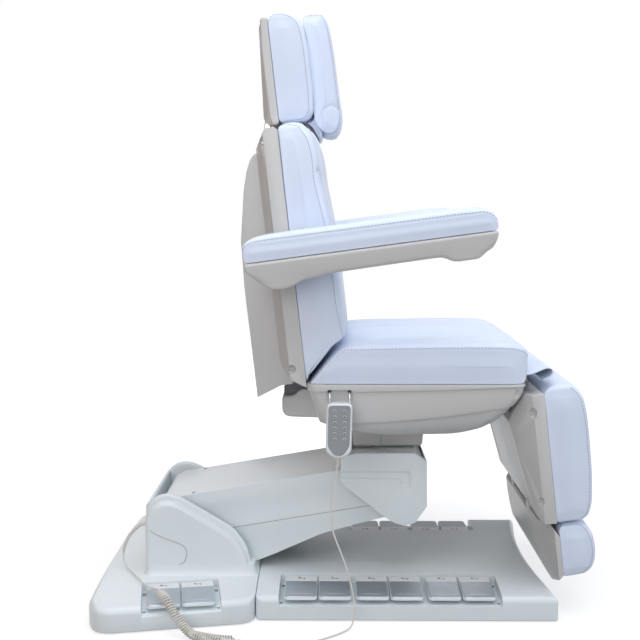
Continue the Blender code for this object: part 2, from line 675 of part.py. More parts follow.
def make_yoke(yoke):
    """Yoke at the arm's front end, kept level: bracket, cover and the tilt pin on top."""
    roof = YOKE_RISE - YOKE_ROOF
    side = YOKE_SLOT_HALF - GAP
    inner = side - BRACKET_THICK
    tilt_x = -TILT_BACK
    tilt_z = TILT_RISE
    plate = [(-70.0, roof), (-70.0, 30.0), (-30.0, -40.0), (30.0, -40.0), (75.0, 30.0), (75.0, roof)]
    bracket = side_prism("yoke_bracket", plate, -side, side, "steel", yoke)
    throat = [(-200.0, roof - 6.0), (-200.0, -200.0), (200.0, -200.0), (200.0, roof - 6.0)]
    cut(bracket, side_prism("yoke_throat", throat, -inner, inner, "steel", yoke),
        rod("yoke_bore", 0.0, 0.0, PIN_RADIUS + GAP, -300.0, 300.0, "steel", yoke))
    ears = []
    for sign in (-1.0, 1.0):
        outline = [(tilt_x - 26.0, roof - 3.0), (tilt_x + 40.0, roof - 3.0)] + arc(tilt_x, tilt_z, 22.0, 20, 180, 8)
        limits = sorted((sign * TILT_EAR_INNER, sign * (TILT_EAR_INNER + TILT_EAR_THICK)))
        ears.append(side_prism(f"tilt_ear_{sign:+.0f}", outline, limits[0], limits[1], "steel", yoke))
    join(bracket, *ears)
    cut(bracket, rod("tilt_bore", tilt_x, tilt_z, PIN_RADIUS + GAP, -300.0, 300.0, "steel", yoke))
    rod("yoke_pin", 0.0, 0.0, PIN_RADIUS, -side, side, "steel", yoke)
    reach = TILT_EAR_INNER + TILT_EAR_THICK
    rod("tilt_pin", tilt_x, tilt_z, PIN_RADIUS, -reach, reach, "steel", yoke)
    top = YOKE_RISE
    outline = [(-132.0, top - 10.0), (-94.0, top - 1.0), (56.0, top), (85.0, top - 22.0), (86.0, -39.0),
               (58.0, -80.0), (31.0, -90.0), (4.0, -82.0), (-20.0, -67.0), (-120.0, 11.0), (-132.0, 28.0)]
    cover = side_prism("yoke_cover", outline, -YOKE_HALF, YOKE_HALF, "shell", yoke)
    throat = [(-300.0, roof + GAP), (-300.0, -200.0), (80.0, -200.0), (80.0, roof + GAP)]
    slots = [block(f"ear_slot_{i}", (tilt_x - 28.0, tilt_x + 42.0),
                   sorted((sign * (TILT_EAR_INNER - 1.0), sign * (TILT_EAR_INNER + TILT_EAR_THICK + 1.0))),
                   (roof - 20.0, top + 20.0), "shell", yoke) for i, sign in enumerate((-1.0, 1.0))]
    return cut(cover, side_prism("cover_throat", throat, -YOKE_SLOT_HALF, YOKE_SLOT_HALF, "shell", yoke), *slots)


def make_seat():
    """Seat: steel frame on the tilt pin, moulded tub, pad, hinge pins and the two actuators."""
    web_outer = WEB_INNER + WEB_THICK
    under = FRAME_TOP - FRAME_PLATE
    profile = [(RECLINE_X - 46.0, 470.0), (TILT_X - 40.0, 462.0), (TILT_X - 20.0, TILT_Z)]
    profile += arc(TILT_X, TILT_Z, 20.0, 200, 340, 8)
    profile += [(NECK_FRONT, TILT_Z - 16.0), (NECK_FRONT, TUB_BOTTOM + 19.0), (LEG_X - 60.0, 545.0),
                (LEG_X + 14.0, 556.0), (LEG_X + 16.0, FRAME_TOP), (RECLINE_X + 26.0, FRAME_TOP), (RECLINE_X - 14.0, FRAME_TOP - 2.0), (RECLINE_X - 26.0, RECLINE_Z),
                (RECLINE_X - 48.0, 540.0)]
    seat = block("seat_frame", (SEAT_REAR + 70.0, SEAT_FRONT - 14.0), (-FRAME_HALF, FRAME_HALF), (under, FRAME_TOP),
                 "steel")
    webs = []
    for sign in (-1.0, 1.0):
        limits = sorted((sign * WEB_INNER, sign * web_outer))
        webs.append(side_prism(f"web_{sign:+.0f}", profile, limits[0], limits[1], "steel"))
    tie = block("web_tie", (RECLINE_X - TIE_BACK - 8.0, RECLINE_X - TIE_BACK), (1.0 - web_outer, web_outer - 1.0),
                (480.0, 538.0), "steel")
    bracket = block("rear_bracket", (RECLINE_X - TIE_BACK - 10.0, SEAT_REAR + 39.0), (-BRACKET_HALF, BRACKET_HALF),
                    (RECLINE_Z - 90.0, RECLINE_Z - 42.0), "steel")
    inside = block("bracket_inside", (RECLINE_X - TIE_BACK, SEAT_REAR + 60.0), (-WEB_INNER - 1.0, WEB_INNER + 1.0),
                   (RECLINE_Z - 84.0, RECLINE_Z), "steel")
    neck = block("neck_front", (NECK_FRONT - 8.0, NECK_FRONT), (1.0 - web_outer, web_outer - 1.0),
                 (TILT_Z - 14.0, TUB_BOTTOM + 15.0), "steel")
    join(seat, *webs, tie, bracket, neck)
    cut(seat, inside)
    cut(seat, rod("tilt_hole", TILT_X, TILT_Z, PIN_RADIUS + GAP, -300.0, 300.0, "steel"),
        rod("recline_hole", RECLINE_X, RECLINE_Z, PIN_RADIUS + GAP, -300.0, 300.0, "steel"),
        rod("leg_hole", LEG_X, LEG_Z, PIN_RADIUS / 2 + GAP, -300.0, 300.0, "steel"))
    reach = web_outer + HINGE_ARM_GAP + HINGE_ARM_THICK
    rod("recline_pin", RECLINE_X, RECLINE_Z, PIN_RADIUS, -reach, reach, "steel")
    rod("leg_pin", LEG_X, LEG_Z, PIN_RADIUS / 2, -reach, reach, "steel", sides=14)
    end = RECLINE_X - TIE_BACK + GAP
    turned("back_actuator", (150.0, -40.0, 520.0), (end, -40.0, 520.0), ACTUATOR_PROFILE, "actuator")
    height = under - GAP - ACTUATOR_FLAT
    turned("leg_actuator", (190.0, 40.0, height), (LEG_X - 20.0, 40.0, height), ACTUATOR_PROFILE, "actuator")
    make_tub(web_outer)
    stations = [(SEAT_REAR, SEAT_PAD_BOTTOM, SEAT_PAD_BOTTOM + 6.0, SEAT_HALF - 12.0),
                (SEAT_REAR + 30.0, SEAT_PAD_BOTTOM, SEAT_PAD_BOTTOM + 42.0, SEAT_HALF - 4.0),
                (SEAT_REAR + 69.0, SEAT_PAD_BOTTOM, SEAT_PAD_TOP - 19.0, SEAT_HALF),
                (SEAT_REAR + 88.0, SEAT_PAD_BOTTOM, SEAT_PAD_TOP - 4.0, SEAT_HALF),
                (SEAT_REAR + 120.0, SEAT_PAD_BOTTOM, SEAT_PAD_TOP, SEAT_HALF),
                (SEAT_FRONT - 150.0, SEAT_PAD_BOTTOM, SEAT_PAD_TOP, SEAT_HALF),
                (SEAT_FRONT - 50.0, SEAT_PAD_BOTTOM, SEAT_PAD_TOP - 7.0, SEAT_HALF),
                (SEAT_FRONT - 14.0, SEAT_PAD_BOTTOM, SEAT_PAD_TOP - 22.0, SEAT_HALF - 4.0),
                (SEAT_FRONT, SEAT_PAD_BOTTOM + 6.0, SEAT_PAD_TOP - 44.0, SEAT_HALF - 14.0)]
    pad("seat_pad", stations, "vinyl", None, CHANNELS, lying=True)


def tub_ring(z, rear, front, half, corner):
    """Plan outline of the tub at one height, with its corners taken off."""
    right = [(rear, half - corner), (rear + corner, half), (front - corner, half), (front, half - corner)]
    return [(x, y, z) for x, y in right] + [(x, -y, z) for x, y in reversed(right)]


def make_tub(web_outer):
    """Moulded tub under the seat pad, open above, with a way through for the neck and the hinges."""
    top = TUB_TOP
    rear, front, half = SEAT_REAR, SEAT_FRONT, SEAT_HALF
    levels = [(top, rear - 11.0, front - 1.0, half, 20.0), (top - 18.0, rear - 7.0, front - 5.0, half, 20.0),
              (top - 49.0, rear + 3.0, front - 12.0, half - 5.0, 26.0),
              (top - 88.0, rear + 15.0, front - 37.0, half - 11.0, 34.0),
              (TUB_BOTTOM + 19.0, rear + 72.0, front - 71.0, half - 32.0, 60.0),
              (TUB_BOTTOM, rear + 118.0, front - 128.0, half - 60.0, 60.0)]
    tub = loft("seat_shell", [tub_ring(*level) for level in levels], "shell")
    wall = TUB_WALL
    inner = [(z + (wall if z == TUB_BOTTOM else 0.0), rear + wall, front - wall, half - wall, corner)
             for z, rear, front, half, corner in levels]
    inner[0] = (top + 10.0,) + inner[0][1:]
    hollow = loft("tub_hollow", [tub_ring(*level) for level in inner], "shell")
    way = web_outer + GAP
    neck = block("neck_way", (TILT_X - 50.0, NECK_FRONT + 8.0), (-way, way),
                 (TUB_BOTTOM - 20.0, TUB_BOTTOM + 40.0), "shell")
    wide = way + HINGE_ARM_GAP + HINGE_ARM_THICK + 2.0
    rear = block("rear_way", (RECLINE_X - 60.0, 30.0), (-wide, wide), (TUB_BOTTOM + 12.0, top + 20.0), "shell")
    front = block("front_way", (LEG_X - 73.0, LEG_X + 60.0), (-wide, wide), (top - 44.0, top + 20.0), "shell")
    reach = HOOK_SPREAD / 2 + 3 * HOOK_RADIUS
    hook = block("hook_recess", (HANDSET_X - reach, HANDSET_X + reach), (-SEAT_HALF - 20.0, -SEAT_HALF + HOOK_RECESS),
                 (HANDSET_TOP + 5.0, HANDSET_TOP + 26.0), "shell")
    return cut(tub, hollow, neck, rear, front, hook)


def side_slopes(name, parent, face, half, slope, limits):
    """Hidden wedges that slope both sides of a shell in from its rim, by the slope for each step back."""
    wedges = []
    for sign in (-1.0, 1.0):
        depth = 60.0
        section = [(face, half), (face, half + depth), (face - depth, half + depth),
                   (face - depth, half - depth * slope)]
        rings = [[(n, sign * y, along) for n, y in section] for along in limits]
        wedges.append(loft(f"{name}_slope_{sign:+.0f}", rings, "shell", parent))
    return wedges


def make_back(back):
    """Backrest: steel frame on the recline pin, moulded shell, bulged cover and long pad."""
    inner = WEB_INNER + WEB_THICK + HINGE_ARM_GAP
    outer = inner + HINGE_ARM_THICK
    face = BACK_SHELL_REAR - GAP
    arms = []
    for sign in (-1.0, 1.0):
        outline = [(face, 560.0), (face - 16.0, 560.0), (face - 16.0, 40.0)] + arc(0.0, 0.0, 20.0, 200, 380, 10)
        outline += [(face, 46.0)]
        limits = sorted((sign * inner, sign * outer))
        arms.append(side_prism(f"back_arm_{sign:+.0f}", outline, limits[0], limits[1], "steel", back))
    plate = block("back_frame", (face - 4.0, face - 2 * GAP), (3.0 - outer, outer - 3.0), (140.0, 556.0), "steel", back)
    join(plate, *arms)
    cut(plate, rod("back_hole", 0.0, 0.0, PIN_RADIUS + GAP, -300.0, 300.0, "steel", back))
    front = BACK_PAD_REAR - GAP
    profile = [(BACK_SHELL_REAR, 30.0), (front, 8.0), (front, BACK_TOP - 12.0), (front - 8.0, BACK_TOP - 4.0),
               (BACK_SHELL_REAR + 7.0, BACK_TOP - 6.0), (BACK_SLOPE_REAR, BACK_TOP - 46.0), (BACK_SLOPE_REAR, 64.0)]
    half = BACK_HALF
    shell = cut(side_prism("back_shell", profile, -half, half, "shell", back),
                *side_slopes("back", back, BACK_SHELL_REAR, half - 2.0, BACK_SLOPE, (-60.0, 700.0)),
                block("back_well", (BACK_SLOPE_REAR - 20.0, BACK_SHELL_REAR),
                      (-BACK_COVER_HALF - 4.0, BACK_COVER_HALF + 4.0), (-60.0, 700.0), "shell", back))
    pocket = block("back_pocket", (BACK_SHELL_REAR + 8.0, front + 20.0), (-half + 16.0, half - 16.0),
                   (60.0, BACK_TOP - 50.0), "shell", back)
    way = block("back_way", (-60.0, front + 20.0), (-outer - 2.0, outer + 2.0), (-40.0, 58.0), "shell", back)
    cut(round_edges(shell, 6.0), pocket, way)
    rear = BACK_COVER_REAR
    width = BACK_COVER_HALF
    profile = [(face, 6.0), (rear + 63.0, 6.0), (rear, -18.0), (rear, 254.0), (rear + 5.0, 370.0), (rear + 26.0, 490.0),
               (rear + 38.0, 535.0), (rear + 50.0, 563.0), (face - 30.0, 576.0), (face, 580.0)]
    cover = side_prism("back_cover", profile, -width, width, "shell", back)
    wall = COVER_WALL
    profile = [(face + 10.0, 12.0), (rear + 64.0, 12.0), (rear + wall, -10.0), (rear + wall, 252.0),
               (rear + wall + 5.0, 368.0), (rear + wall + 25.0, 486.0), (rear + wall + 37.0, 530.0),
               (face - 30.0, 568.0), (face + 10.0, 570.0)]
    inside = side_prism("cover_inside", profile, -width + wall, width - wall, "shell", back)
    notch = block("cover_notch", (rear - 20.0, face + 20.0), (-COVER_NOTCH_HALF, COVER_NOTCH_HALF),
                  (-60.0, COVER_NOTCH_TOP), "shell", back)
    bars = block("bar_way", (face - 16.0, face + 20.0), (-HEAD_BAR_Y - HEAD_BAR_WIDTH, HEAD_BAR_Y + HEAD_BAR_WIDTH),
                 (540.0, 620.0), "shell", back)
    cut(cover, inside, notch, bars)
    rear = BACK_PAD_REAR
    slant = [rear + 8.0, rear + 28.0, rear + 56.0, rear + 92.0]
    stations = [(l, rear, l - SLANT_GAP, half - inset) for l, inset in zip(slant, (12.0, 4.0, 0.0, 0.0))]
    stations += [(136.0, rear, 127.0, half), (270.0, rear, 132.0, half), (400.0, rear, 127.0, half - 4.0),
                 (500.0, rear, 118.0, half - 8.0), (560.0, rear, 114.0, half - 12.0), (600.0, rear, 100.0, half - 20.0),
                 (622.0, rear, 82.0, half - 34.0), (BACK_TOP, rear + 6.0, 58.0, half - 60.0)]
    pad("back_pad", stations, "vinyl", back, CHANNELS)


def make_head(back):
    """Headrest: two bars with a cross tube, shell, pad and the contoured pillow with its neck roll."""
    near = BACK_SHELL_REAR - 4.0 - 2 * GAP
    bars = []
    for sign in (-1.0, 1.0):
        limits = sorted((sign * (HEAD_BAR_Y - HEAD_BAR_WIDTH / 2), sign * (HEAD_BAR_Y + HEAD_BAR_WIDTH / 2)))
        outline = [(near - HEAD_BAR_THICK, 420.0), (near, 420.0), (near, HEAD_BEND),
                   (HEAD_AXIS_N + 3.0, HEAD_AXIS_L - 2.0), (HEAD_AXIS_N - 3.0, HEAD_AXIS_L + 2.0),
                   (near - HEAD_BAR_THICK, HEAD_BEND + 3.0)]
        bars.append(side_prism(f"head_bar_{sign:+.0f}", outline, limits[0], limits[1], "steel", back))
    reach = HEAD_BAR_Y + HEAD_BAR_WIDTH + 16.0
    bracket = rod("head_bracket", HEAD_AXIS_N, HEAD_AXIS_L, HEAD_TUBE_RADIUS, -reach, reach, "chrome", back, sides=14)
    join(bracket, *bars)
    rear = BACK_PAD_REAR
    front = rear - GAP
    profile = [(front, HEAD_BOTTOM), (-9.0, HEAD_BOTTOM - 3.0), (-17.0, 659.0), (-20.0, 696.0), (-12.0, 845.0),
               (-7.0, 894.0), (-2.0, 901.0), (front, 903.0)]
    shell = side_prism("head_shell", profile, -HEAD_HALF, HEAD_HALF, "shell", back)
    lugs = []
    inner = HEAD_BAR_Y + HEAD_BAR_WIDTH / 2 + 2.0
    for sign in (-1.0, 1.0):
        limits = sorted((sign * inner, sign * (inner + 16.0)))
        outline = [(-10.0, 690.0), (-6.0, 654.0)] + arc(HEAD_AXIS_N, HEAD_AXIS_L, 13.0, 300, 120, 9)
        lugs.append(side_prism(f"head_lug_{sign:+.0f}", outline, limits[0], limits[1], "shell", back))
    join(round_edges(shell, 5.0), *lugs)
    sleeve = rod("head_bore", HEAD_AXIS_N, HEAD_AXIS_L, HEAD_TUBE_RADIUS + GAP, -300.0, 300.0, "shell", back)
    cut(shell, sleeve)
    half = HEAD_HALF
    stations = [(HEAD_BOTTOM, rear + 8.0, 70.0, half - 34.0), (652.0, rear, 94.0, half - 14.0),
                (672.0, rear, 107.0, half - 4.0), (730.0, rear, 110.0, half), (820.0, rear, 110.0, half - 2.0),
                (872.0, rear, 105.0, half - 8.0), (900.0, rear, 88.0, half - 24.0),
                (HEAD_TOP, rear + 10.0, 60.0, half - 50.0)]
    pad("head_pad", stations, "vinyl", back, crown=14.0)
    half = PILLOW_HALF
    base = 111.0
    stations = [(598.0, 134.0, 154.0, half - 26.0), (606.0, 122.0, 164.0, half - 12.0), (622.0, 113.5, 173.0, half - 3.0),
                (648.0, base, 177.0, half), (676.0, base, 177.0, half), (700.0, base, 173.0, half),
                (740.0, base, 171.0, half - 2.0), (846.0, base, 168.0, half - 4.0), (884.0, base, 163.0, half - 10.0),
                (900.0, base + 8.0, 150.0, half - 24.0)]
    pad("head_pillow", stations, "vinyl", back, crown=16.0)


def make_armrest(side, sign, back_pivot):
    """One armrest: hub on the back, moulded shell with a rear lobe and finger pod, long pad."""
    x, z = back_pivot
    swing = frame(f"armrest_{side}_axis", x, z, ARMREST_TILT)
    hub = sorted((sign * (BACK_HALF + GAP), sign * (ARMREST_INNER - GAP)))
    rod(f"arm_hub_{side}", 0.0, 0.0, HUB_RADIUS, hub[0], hub[1], "shell", swing)
    limits = sorted((sign * ARMREST_INNER, sign * ARMREST_OUTER))
    line = ARMREST_LINE - GAP
    outline = [(-70.0, line), (-70.0, 10.0), (-43.0, -15.0)] + arc(6.0, 0.0, 40.0, 232, 312, 6)
    outline += [(56.0, -24.0), (120.0, -17.0), (380.0, -14.0), (404.0, -29.0), (462.0, -29.0), (482.0, -13.0),
                (498.0, -4.0), (511.0, line)]
    shell = side_prism(f"arm_shell_{side}", outline, limits[0], limits[1], "shell", swing)
    round_edges(shell, 7.0)
    middle = (limits[0] + limits[1]) / 2
    half = (ARMREST_OUTER - ARMREST_INNER) / 2
    low = ARMREST_LINE
    top = ARMREST_TOP
    stations = [(-70.0, low, low + 32.0, half - 8.0), (-58.0, low, low + 46.0, half - 2.0), (-30.0, low, top - 5.0, half),
                (10.0, low, top, half), (440.0, low, top - 2.0, half), (484.0, low, top - 8.0, half - 1.0),
                (504.0, low, top - 26.0, half - 6.0), (511.0, low, top - 44.0, half - 14.0)]
    rest = pad(f"arm_pad_{side}", stations, "vinyl", swing, crown=12.0, lying=True)
    rest.location.y = middle * MM


def make_leg(leg):
    """Leg section: shell with its rim and sloped sides, rear cover between them and pad."""
    half = LEG_HALF
    inner = WEB_INNER + WEB_THICK + HINGE_ARM_GAP
    outer = inner + HINGE_ARM_THICK
    front = LEG_PAD_REAR - GAP
    rear = LEG_RIM_REAR
    profile = [(front, -18.0), (front, -338.0), (rear, -337.0)] + list(reversed(LEG_REAR))
    profile += [(-46.0, -58.0), (-21.0, -16.0)]
    shell = cut(side_prism("leg_shell", profile, -half, half, "shell", leg),
                *side_slopes("leg", leg, rear - 1.0, half - 2.0, LEG_SLOPE, (-540.0, 60.0)))
    well = block("leg_pocket", (rear - 80.0, rear - 1.0), (-LEG_COVER_HALF - 4.0, LEG_COVER_HALF + 4.0),
                 (-360.0, 10.0), "shell", leg)
    pocket = block("leg_front_pocket", (rear + 7.0, front + 20.0), (-half + 16.0, half - 16.0), (-300.0, -60.0),
                   "shell", leg)
    lugs = []
    for sign in (-1.0, 1.0):
        limits = sorted((sign * inner, sign * outer))
        outline = [(front - 1.0, -60.0), (rear, -60.0)] + arc(0.0, 0.0, 13.0, 200, 0, 8) + [(front - 1.0, -20.0)]
        lugs.append(side_prism(f"leg_lug_{sign:+.0f}", outline, limits[0], limits[1], "shell", leg))
    room = block("leg_room", (-80.0, front + 20.0), (-outer - 4.0, outer + 4.0), (-24.0, 40.0), "shell", leg)
    cut(round_edges(shell, 5.0), well, pocket, room)
    join(shell, *lugs)
    cut(shell, rod("leg_bore", 0.0, 0.0, PIN_RADIUS / 2 + GAP, -300.0, 300.0, "shell", leg))
    face = rear - 1.0 - GAP
    width = LEG_COVER_HALF
    profile = [(face, -60.0), (-50.0, -70.0)] + list(LEG_REAR) + [(face, -338.0)]
    cover = side_prism("leg_cover", profile, -width, width, "shell", leg)
    wall = COVER_WALL
    profile = [(face + 10.0, -66.0), (-46.0, -76.0)] + [(n + wall + 0.5, l) for n, l in LEG_REAR[:-2]]
    profile += [(-18.0, -310.0), (face + 10.0, -322.0)]
    inside = side_prism("leg_cover_inside", profile, -width + wall, width - wall, "shell", leg)
    room = RAIL_WIDTH / 2 + GAP
    ways = [block(f"rail_way_{i}", (RAIL_NEAR - GAP, RAIL_FAR + 30.0),
                  sorted((sign * (RAIL_Y - room), sign * (RAIL_Y + room))),
                  (-400.0, -300.0), "shell", leg) for i, sign in enumerate((-1.0, 1.0))]
    cut(cover, inside, *ways)
    rear = LEG_PAD_REAR
    stations = [(-341.0, rear + 8.0, 80.0, half - 34.0), (-334.0, rear, 102.0, half - 14.0), (-312.0, rear, 114.0, half - 4.0),
                (-222.0, rear, 119.0, half), (-100.0, rear, 119.0, half), (-60.0, rear, 117.0, half - 2.0),
                (-34.0, rear, 110.0, half - 8.0), (-12.0, rear + 4.0, 96.0, half - 24.0),
                (-2.0, rear + 22.0, 76.0, half - 40.0)]
    pad("leg_pad", stations, "vinyl", leg, crown=LEG_CROWN)


def make_foot(leg):
    """Foot section: shell with sloped sides, its two rails up into the leg section and the small pad."""
    half = FOOT_HALF
    face = 26.0 - GAP
    profile = [(9.0, -345.0), (face, -374.0), (face, -472.0), (12.0, -484.0), (2.0, -488.0)] + list(FOOT_REAR)
    shell = cut(side_prism("foot_shell", profile, -half, half, "shell", leg),
                *side_slopes("foot", leg, 14.0, half - 2.0, FOOT_SLOPE, (-540.0, 60.0)))
    round_edges(shell, 4.0)
    rails = []
    for sign in (-1.0, 1.0):
        limits = sorted((sign * (RAIL_Y - RAIL_WIDTH / 2), sign * (RAIL_Y + RAIL_WIDTH / 2)))
        rails.append(block(f"foot_rail_{sign:+.0f}", (RAIL_NEAR, RAIL_FAR), limits, (-360.0, -RAIL_TOP), "steel", leg))
    join(shell, *rails)
    rear = face + GAP
    stations = [(-480.0, rear + 8.0, 60.0, half - 34.0), (-474.0, rear, 84.0, half - 14.0), (-457.0, rear, 107.0, half - 4.0),
                (-420.0, rear, 114.0, half), (-383.0, rear, 113.0, half - 4.0), (-358.0, rear, 100.0, half - 16.0),
                (-347.0, rear + 10.0, 72.0, half - 40.0)]
    pad("foot_pad", stations, "vinyl", leg, crown=LEG_CROWN)


def make_flap():
    """Vinyl flap from under the seat pad's front to the leg pad, hanging in one fold."""
    top = [(SEAT_FRONT + GAP, 641.0), (SEAT_FRONT + 22.0, 632.0), (SEAT_FRONT + 44.0, 622.0), (SEAT_FRONT + 62.0, 617.0),
           (SEAT_FRONT + 64.0, 608.0)]
    low = [(SEAT_FRONT + 58.0, 604.0), (SEAT_FRONT + 42.0, 612.0), (SEAT_FRONT + 20.0, 622.0), (SEAT_FRONT + GAP, 632.0)]
    side_prism("leg_flap", top + low, -SEAT_HALF + 34.0, SEAT_HALF - 34.0, "vinyl")


def make_handset():
    """Handset on its wire hook, at the right-hand side of the tub."""
    left = HANDSET_X - HANDSET_WIDTH / 2
    right = HANDSET_X + HANDSET_WIDTH / 2
    low = HANDSET_TOP - HANDSET_HEIGHT
    outline = [(left + 5.0, HANDSET_TOP), (left, HANDSET_TOP - 6.0), (left - 3.0, low + 18.0), (left + 6.0, low + 8.0),
               (left + 18.0, low), (right - 24.0, low), (right - 10.0, low + 8.0), (right - 3.0, low + 18.0),
               (right, HANDSET_TOP - 6.0), (right - 5.0, HANDSET_TOP)]
    body = side_prism("handset_body", outline, HANDSET_BACK - HANDSET_THICK, HANDSET_BACK, "shell")
    round_edges(body, 4.0)
    reach = HOOK_SPREAD / 2
    top = HANDSET_TOP + 20.0
    inside = -SEAT_HALF + HOOK_RECESS - HOOK_RADIUS - GAP
    hang = HANDSET_BACK + HOOK_RADIUS + GAP
    lower = HANDSET_TOP - 30.0
    points = [(-reach, hang, lower), (-reach, hang, top - 6.0), (-reach, hang + 6.0, top), (-reach, inside, top),
              (reach, inside, top), (reach, hang + 6.0, top), (reach, hang, top - 6.0), (reach, hang, lower)]
    tube("handset_hook", [(HANDSET_X + x, y, z) for x, y, z in points], HOOK_RADIUS, 2, "chrome")


def make_cord():
    """One cord: down from the handset, along the floor in curls and up into the plug at the tower."""
    curl_route = [(-254, -449.6, 13), (-290, -446, 13), (-330, -432, 13), (-356, -418, 14), (-378, -404, 28),
                  (-400, -392, 52), (-418, -374, 74), (-432, -352, 79), (-444, -334, 80)]
    helix = curl_points(smooth_path(curl_route, 3.0), COIL_RADIUS, COIL_PITCH)
    print(f"least gap between curls: {least_gap(helix, CORD_RADIUS):.2f} mm")
    tube("cord_coil", helix, CORD_RADIUS, 1, "cord")
    before = helix[0] + (helix[0] - helix[1]).normalized() * GAP
    after = helix[-1] + (helix[-1] - helix[-2]).normalized() * GAP
    start = (HANDSET_X - 4.0, HANDSET_BACK - HANDSET_THICK / 2, HANDSET_TOP - HANDSET_HEIGHT - GAP)
    drop = [start, (-17, -331, 398), (-20, -332, 370), (-30, -334, 310), (-31, -336, 270), (-26, -338, 230),
            (-10, -340, 186), (4, -342, 148), (16, -344, 103), (24, -346, 60), (24, -350, 30), (16, -360, 9),
            (2, -374, 3), (-26, -400, 2.6), (-70, -430, 2.6), (-120, -446, 2.6), (-180, -452, 4), (-226, -450.5, 10),
            before + Vector((12.0, -0.6, -0.3)), before]
    tube("cord_drop", smooth_path(drop, 11.0), CORD_RADIUS, 2, "cord")
    foot = Vector((-566.0, -150.0, 114.0))
    tail = [after, after + 8.0 * (after - helix[-1]).normalized(), (-482, -283, 76), (-509, -236, 76), (-540, -184, 77),
            (-558, -162, 84), (-566, -152, 100), foot]
    tube("cord_tail", smooth_path(tail, 9.0), CORD_RADIUS, 2, "cord")
    wall = Vector((TOWER_REAR - GAP, -150.0, 192.0))
    plug = [foot + Vector((0.0, 0.0, GAP)), (-563, -150, 132), (-550, -150, 160), (-530, -150, 182),
            wall - Vector((12.0, 0.0, 0.6)), wall]
    tube("cord_plug", smooth_path(plug, 9.0), 2.4 * CORD_RADIUS, 2, "cord")


clear_scene()
ACTUATOR_FLAT = ACTUATOR_PROFILE[0][1] * math.cos(math.pi / ACTUATOR_SIDES)
BACK_TURN = math.radians(BACK_LEAN)
ARM_PIVOT = (RECLINE_X + ARM_PIVOT_N * math.cos(BACK_TURN) - ARM_PIVOT_L * math.sin(BACK_TURN),
             RECLINE_Z + ARM_PIVOT_N * math.sin(BACK_TURN) + ARM_PIVOT_L * math.cos(BACK_TURN))
make_chassis()
make_front_shell()
make_rear_shell()
make_pedals()
make_lift(frame("lift_axis", LIFT_X, LIFT_Z, ARM_REST))
actuator_z = BASE_BOTTOM + CHASSIS_PLATE + GAP + ACTUATOR_FLAT
turned("lift_actuator", (150.0, 0.0, actuator_z), (-300.0, 0.0, actuator_z), ACTUATOR_PROFILE, "actuator")
make_yoke(frame("yoke_axis", LIFT_REACH_X, LIFT_REACH_Z))
make_seat()
back_axis = frame("recline_axis", RECLINE_X, RECLINE_Z, BACK_LEAN)
make_back(back_axis)
make_head(back_axis)
for side_name, side_sign in (("right", -1.0), ("left", 1.0)):
    make_armrest(side_name, side_sign, ARM_PIVOT)
leg_axis = frame("leg_axis", LEG_X, LEG_Z, LEG_LEAN)
make_leg(leg_axis)
make_foot(leg_axis)
make_flap()
make_handset()
make_cord()
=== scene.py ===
"""Facial bed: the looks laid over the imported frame, in the frame's own axes.

X runs to the foot end, Y across the bed and Z up from the floor. Sizes are written in millimetres
and turned to metres where points are placed.
"""
import logging
import math
from dataclasses import dataclass, field
from enum import Enum
from typing import Any, Sequence

import bmesh
import bpy
import numpy as np
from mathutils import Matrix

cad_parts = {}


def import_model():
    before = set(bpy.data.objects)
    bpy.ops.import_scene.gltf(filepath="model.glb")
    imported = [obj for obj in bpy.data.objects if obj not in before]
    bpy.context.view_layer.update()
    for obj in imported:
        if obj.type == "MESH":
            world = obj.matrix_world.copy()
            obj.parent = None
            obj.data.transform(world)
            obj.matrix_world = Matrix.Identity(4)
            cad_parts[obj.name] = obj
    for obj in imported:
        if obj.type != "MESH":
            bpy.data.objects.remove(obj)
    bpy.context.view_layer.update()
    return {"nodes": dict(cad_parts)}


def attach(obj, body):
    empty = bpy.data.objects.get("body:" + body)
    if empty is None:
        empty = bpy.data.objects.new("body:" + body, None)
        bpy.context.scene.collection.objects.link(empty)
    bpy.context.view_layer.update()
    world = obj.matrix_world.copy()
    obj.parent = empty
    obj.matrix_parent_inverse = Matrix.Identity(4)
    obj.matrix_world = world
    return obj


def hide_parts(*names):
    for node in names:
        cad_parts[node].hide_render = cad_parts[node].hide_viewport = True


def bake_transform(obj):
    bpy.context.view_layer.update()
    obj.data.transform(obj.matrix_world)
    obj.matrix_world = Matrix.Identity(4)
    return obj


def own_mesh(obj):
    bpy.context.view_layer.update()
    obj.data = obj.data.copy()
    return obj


LOG = logging.getLogger("facial_bed")
MM = 0.001
Array = np.ndarray
Piece = bpy.types.Object
Point = Sequence[float]
Points = Sequence[Sequence[float]]
Outline = tuple[tuple[float, float], ...]
Route = tuple[tuple[float, float, float], ...]
Table = tuple[tuple[float, ...], ...]
Curve = tuple[tuple[float, ...], tuple[float, ...]]


class Side(Enum):
    """The two sides of the bed, with the sign of Y on each."""

    RIGHT = -1.0
    LEFT = 1.0

    @property
    def label(self) -> str:
        """Name of the side as the frame's nodes spell it."""
        return self.name.lower()

    def span(self, near: float, far: float) -> list[float]:
        """Lower and upper Y of a piece on this side.

        Args:
            near: distance of its inner face from the middle plane, mm.
            far: distance of its outer face, mm.

        Returns:
            The two values of Y in rising order.
        """
        return sorted((self.value * near, self.value * far))


# Materials


def linear(hex_colour: str) -> tuple[float, float, float, float]:
    """Linear colour of an sRGB hex value.

    Args:
        hex_colour: six hex digits after a hash sign.

    Returns:
        Red, green, blue and an alpha of one.
    """
    parts = np.array([int(hex_colour[i:i + 2], 16) for i in (1, 3, 5)]) / 255.0
    light = np.where(parts <= 0.04045, parts / 12.92, ((parts + 0.055) / 1.055) ** 2.4)
    return (*light.tolist(), 1.0)


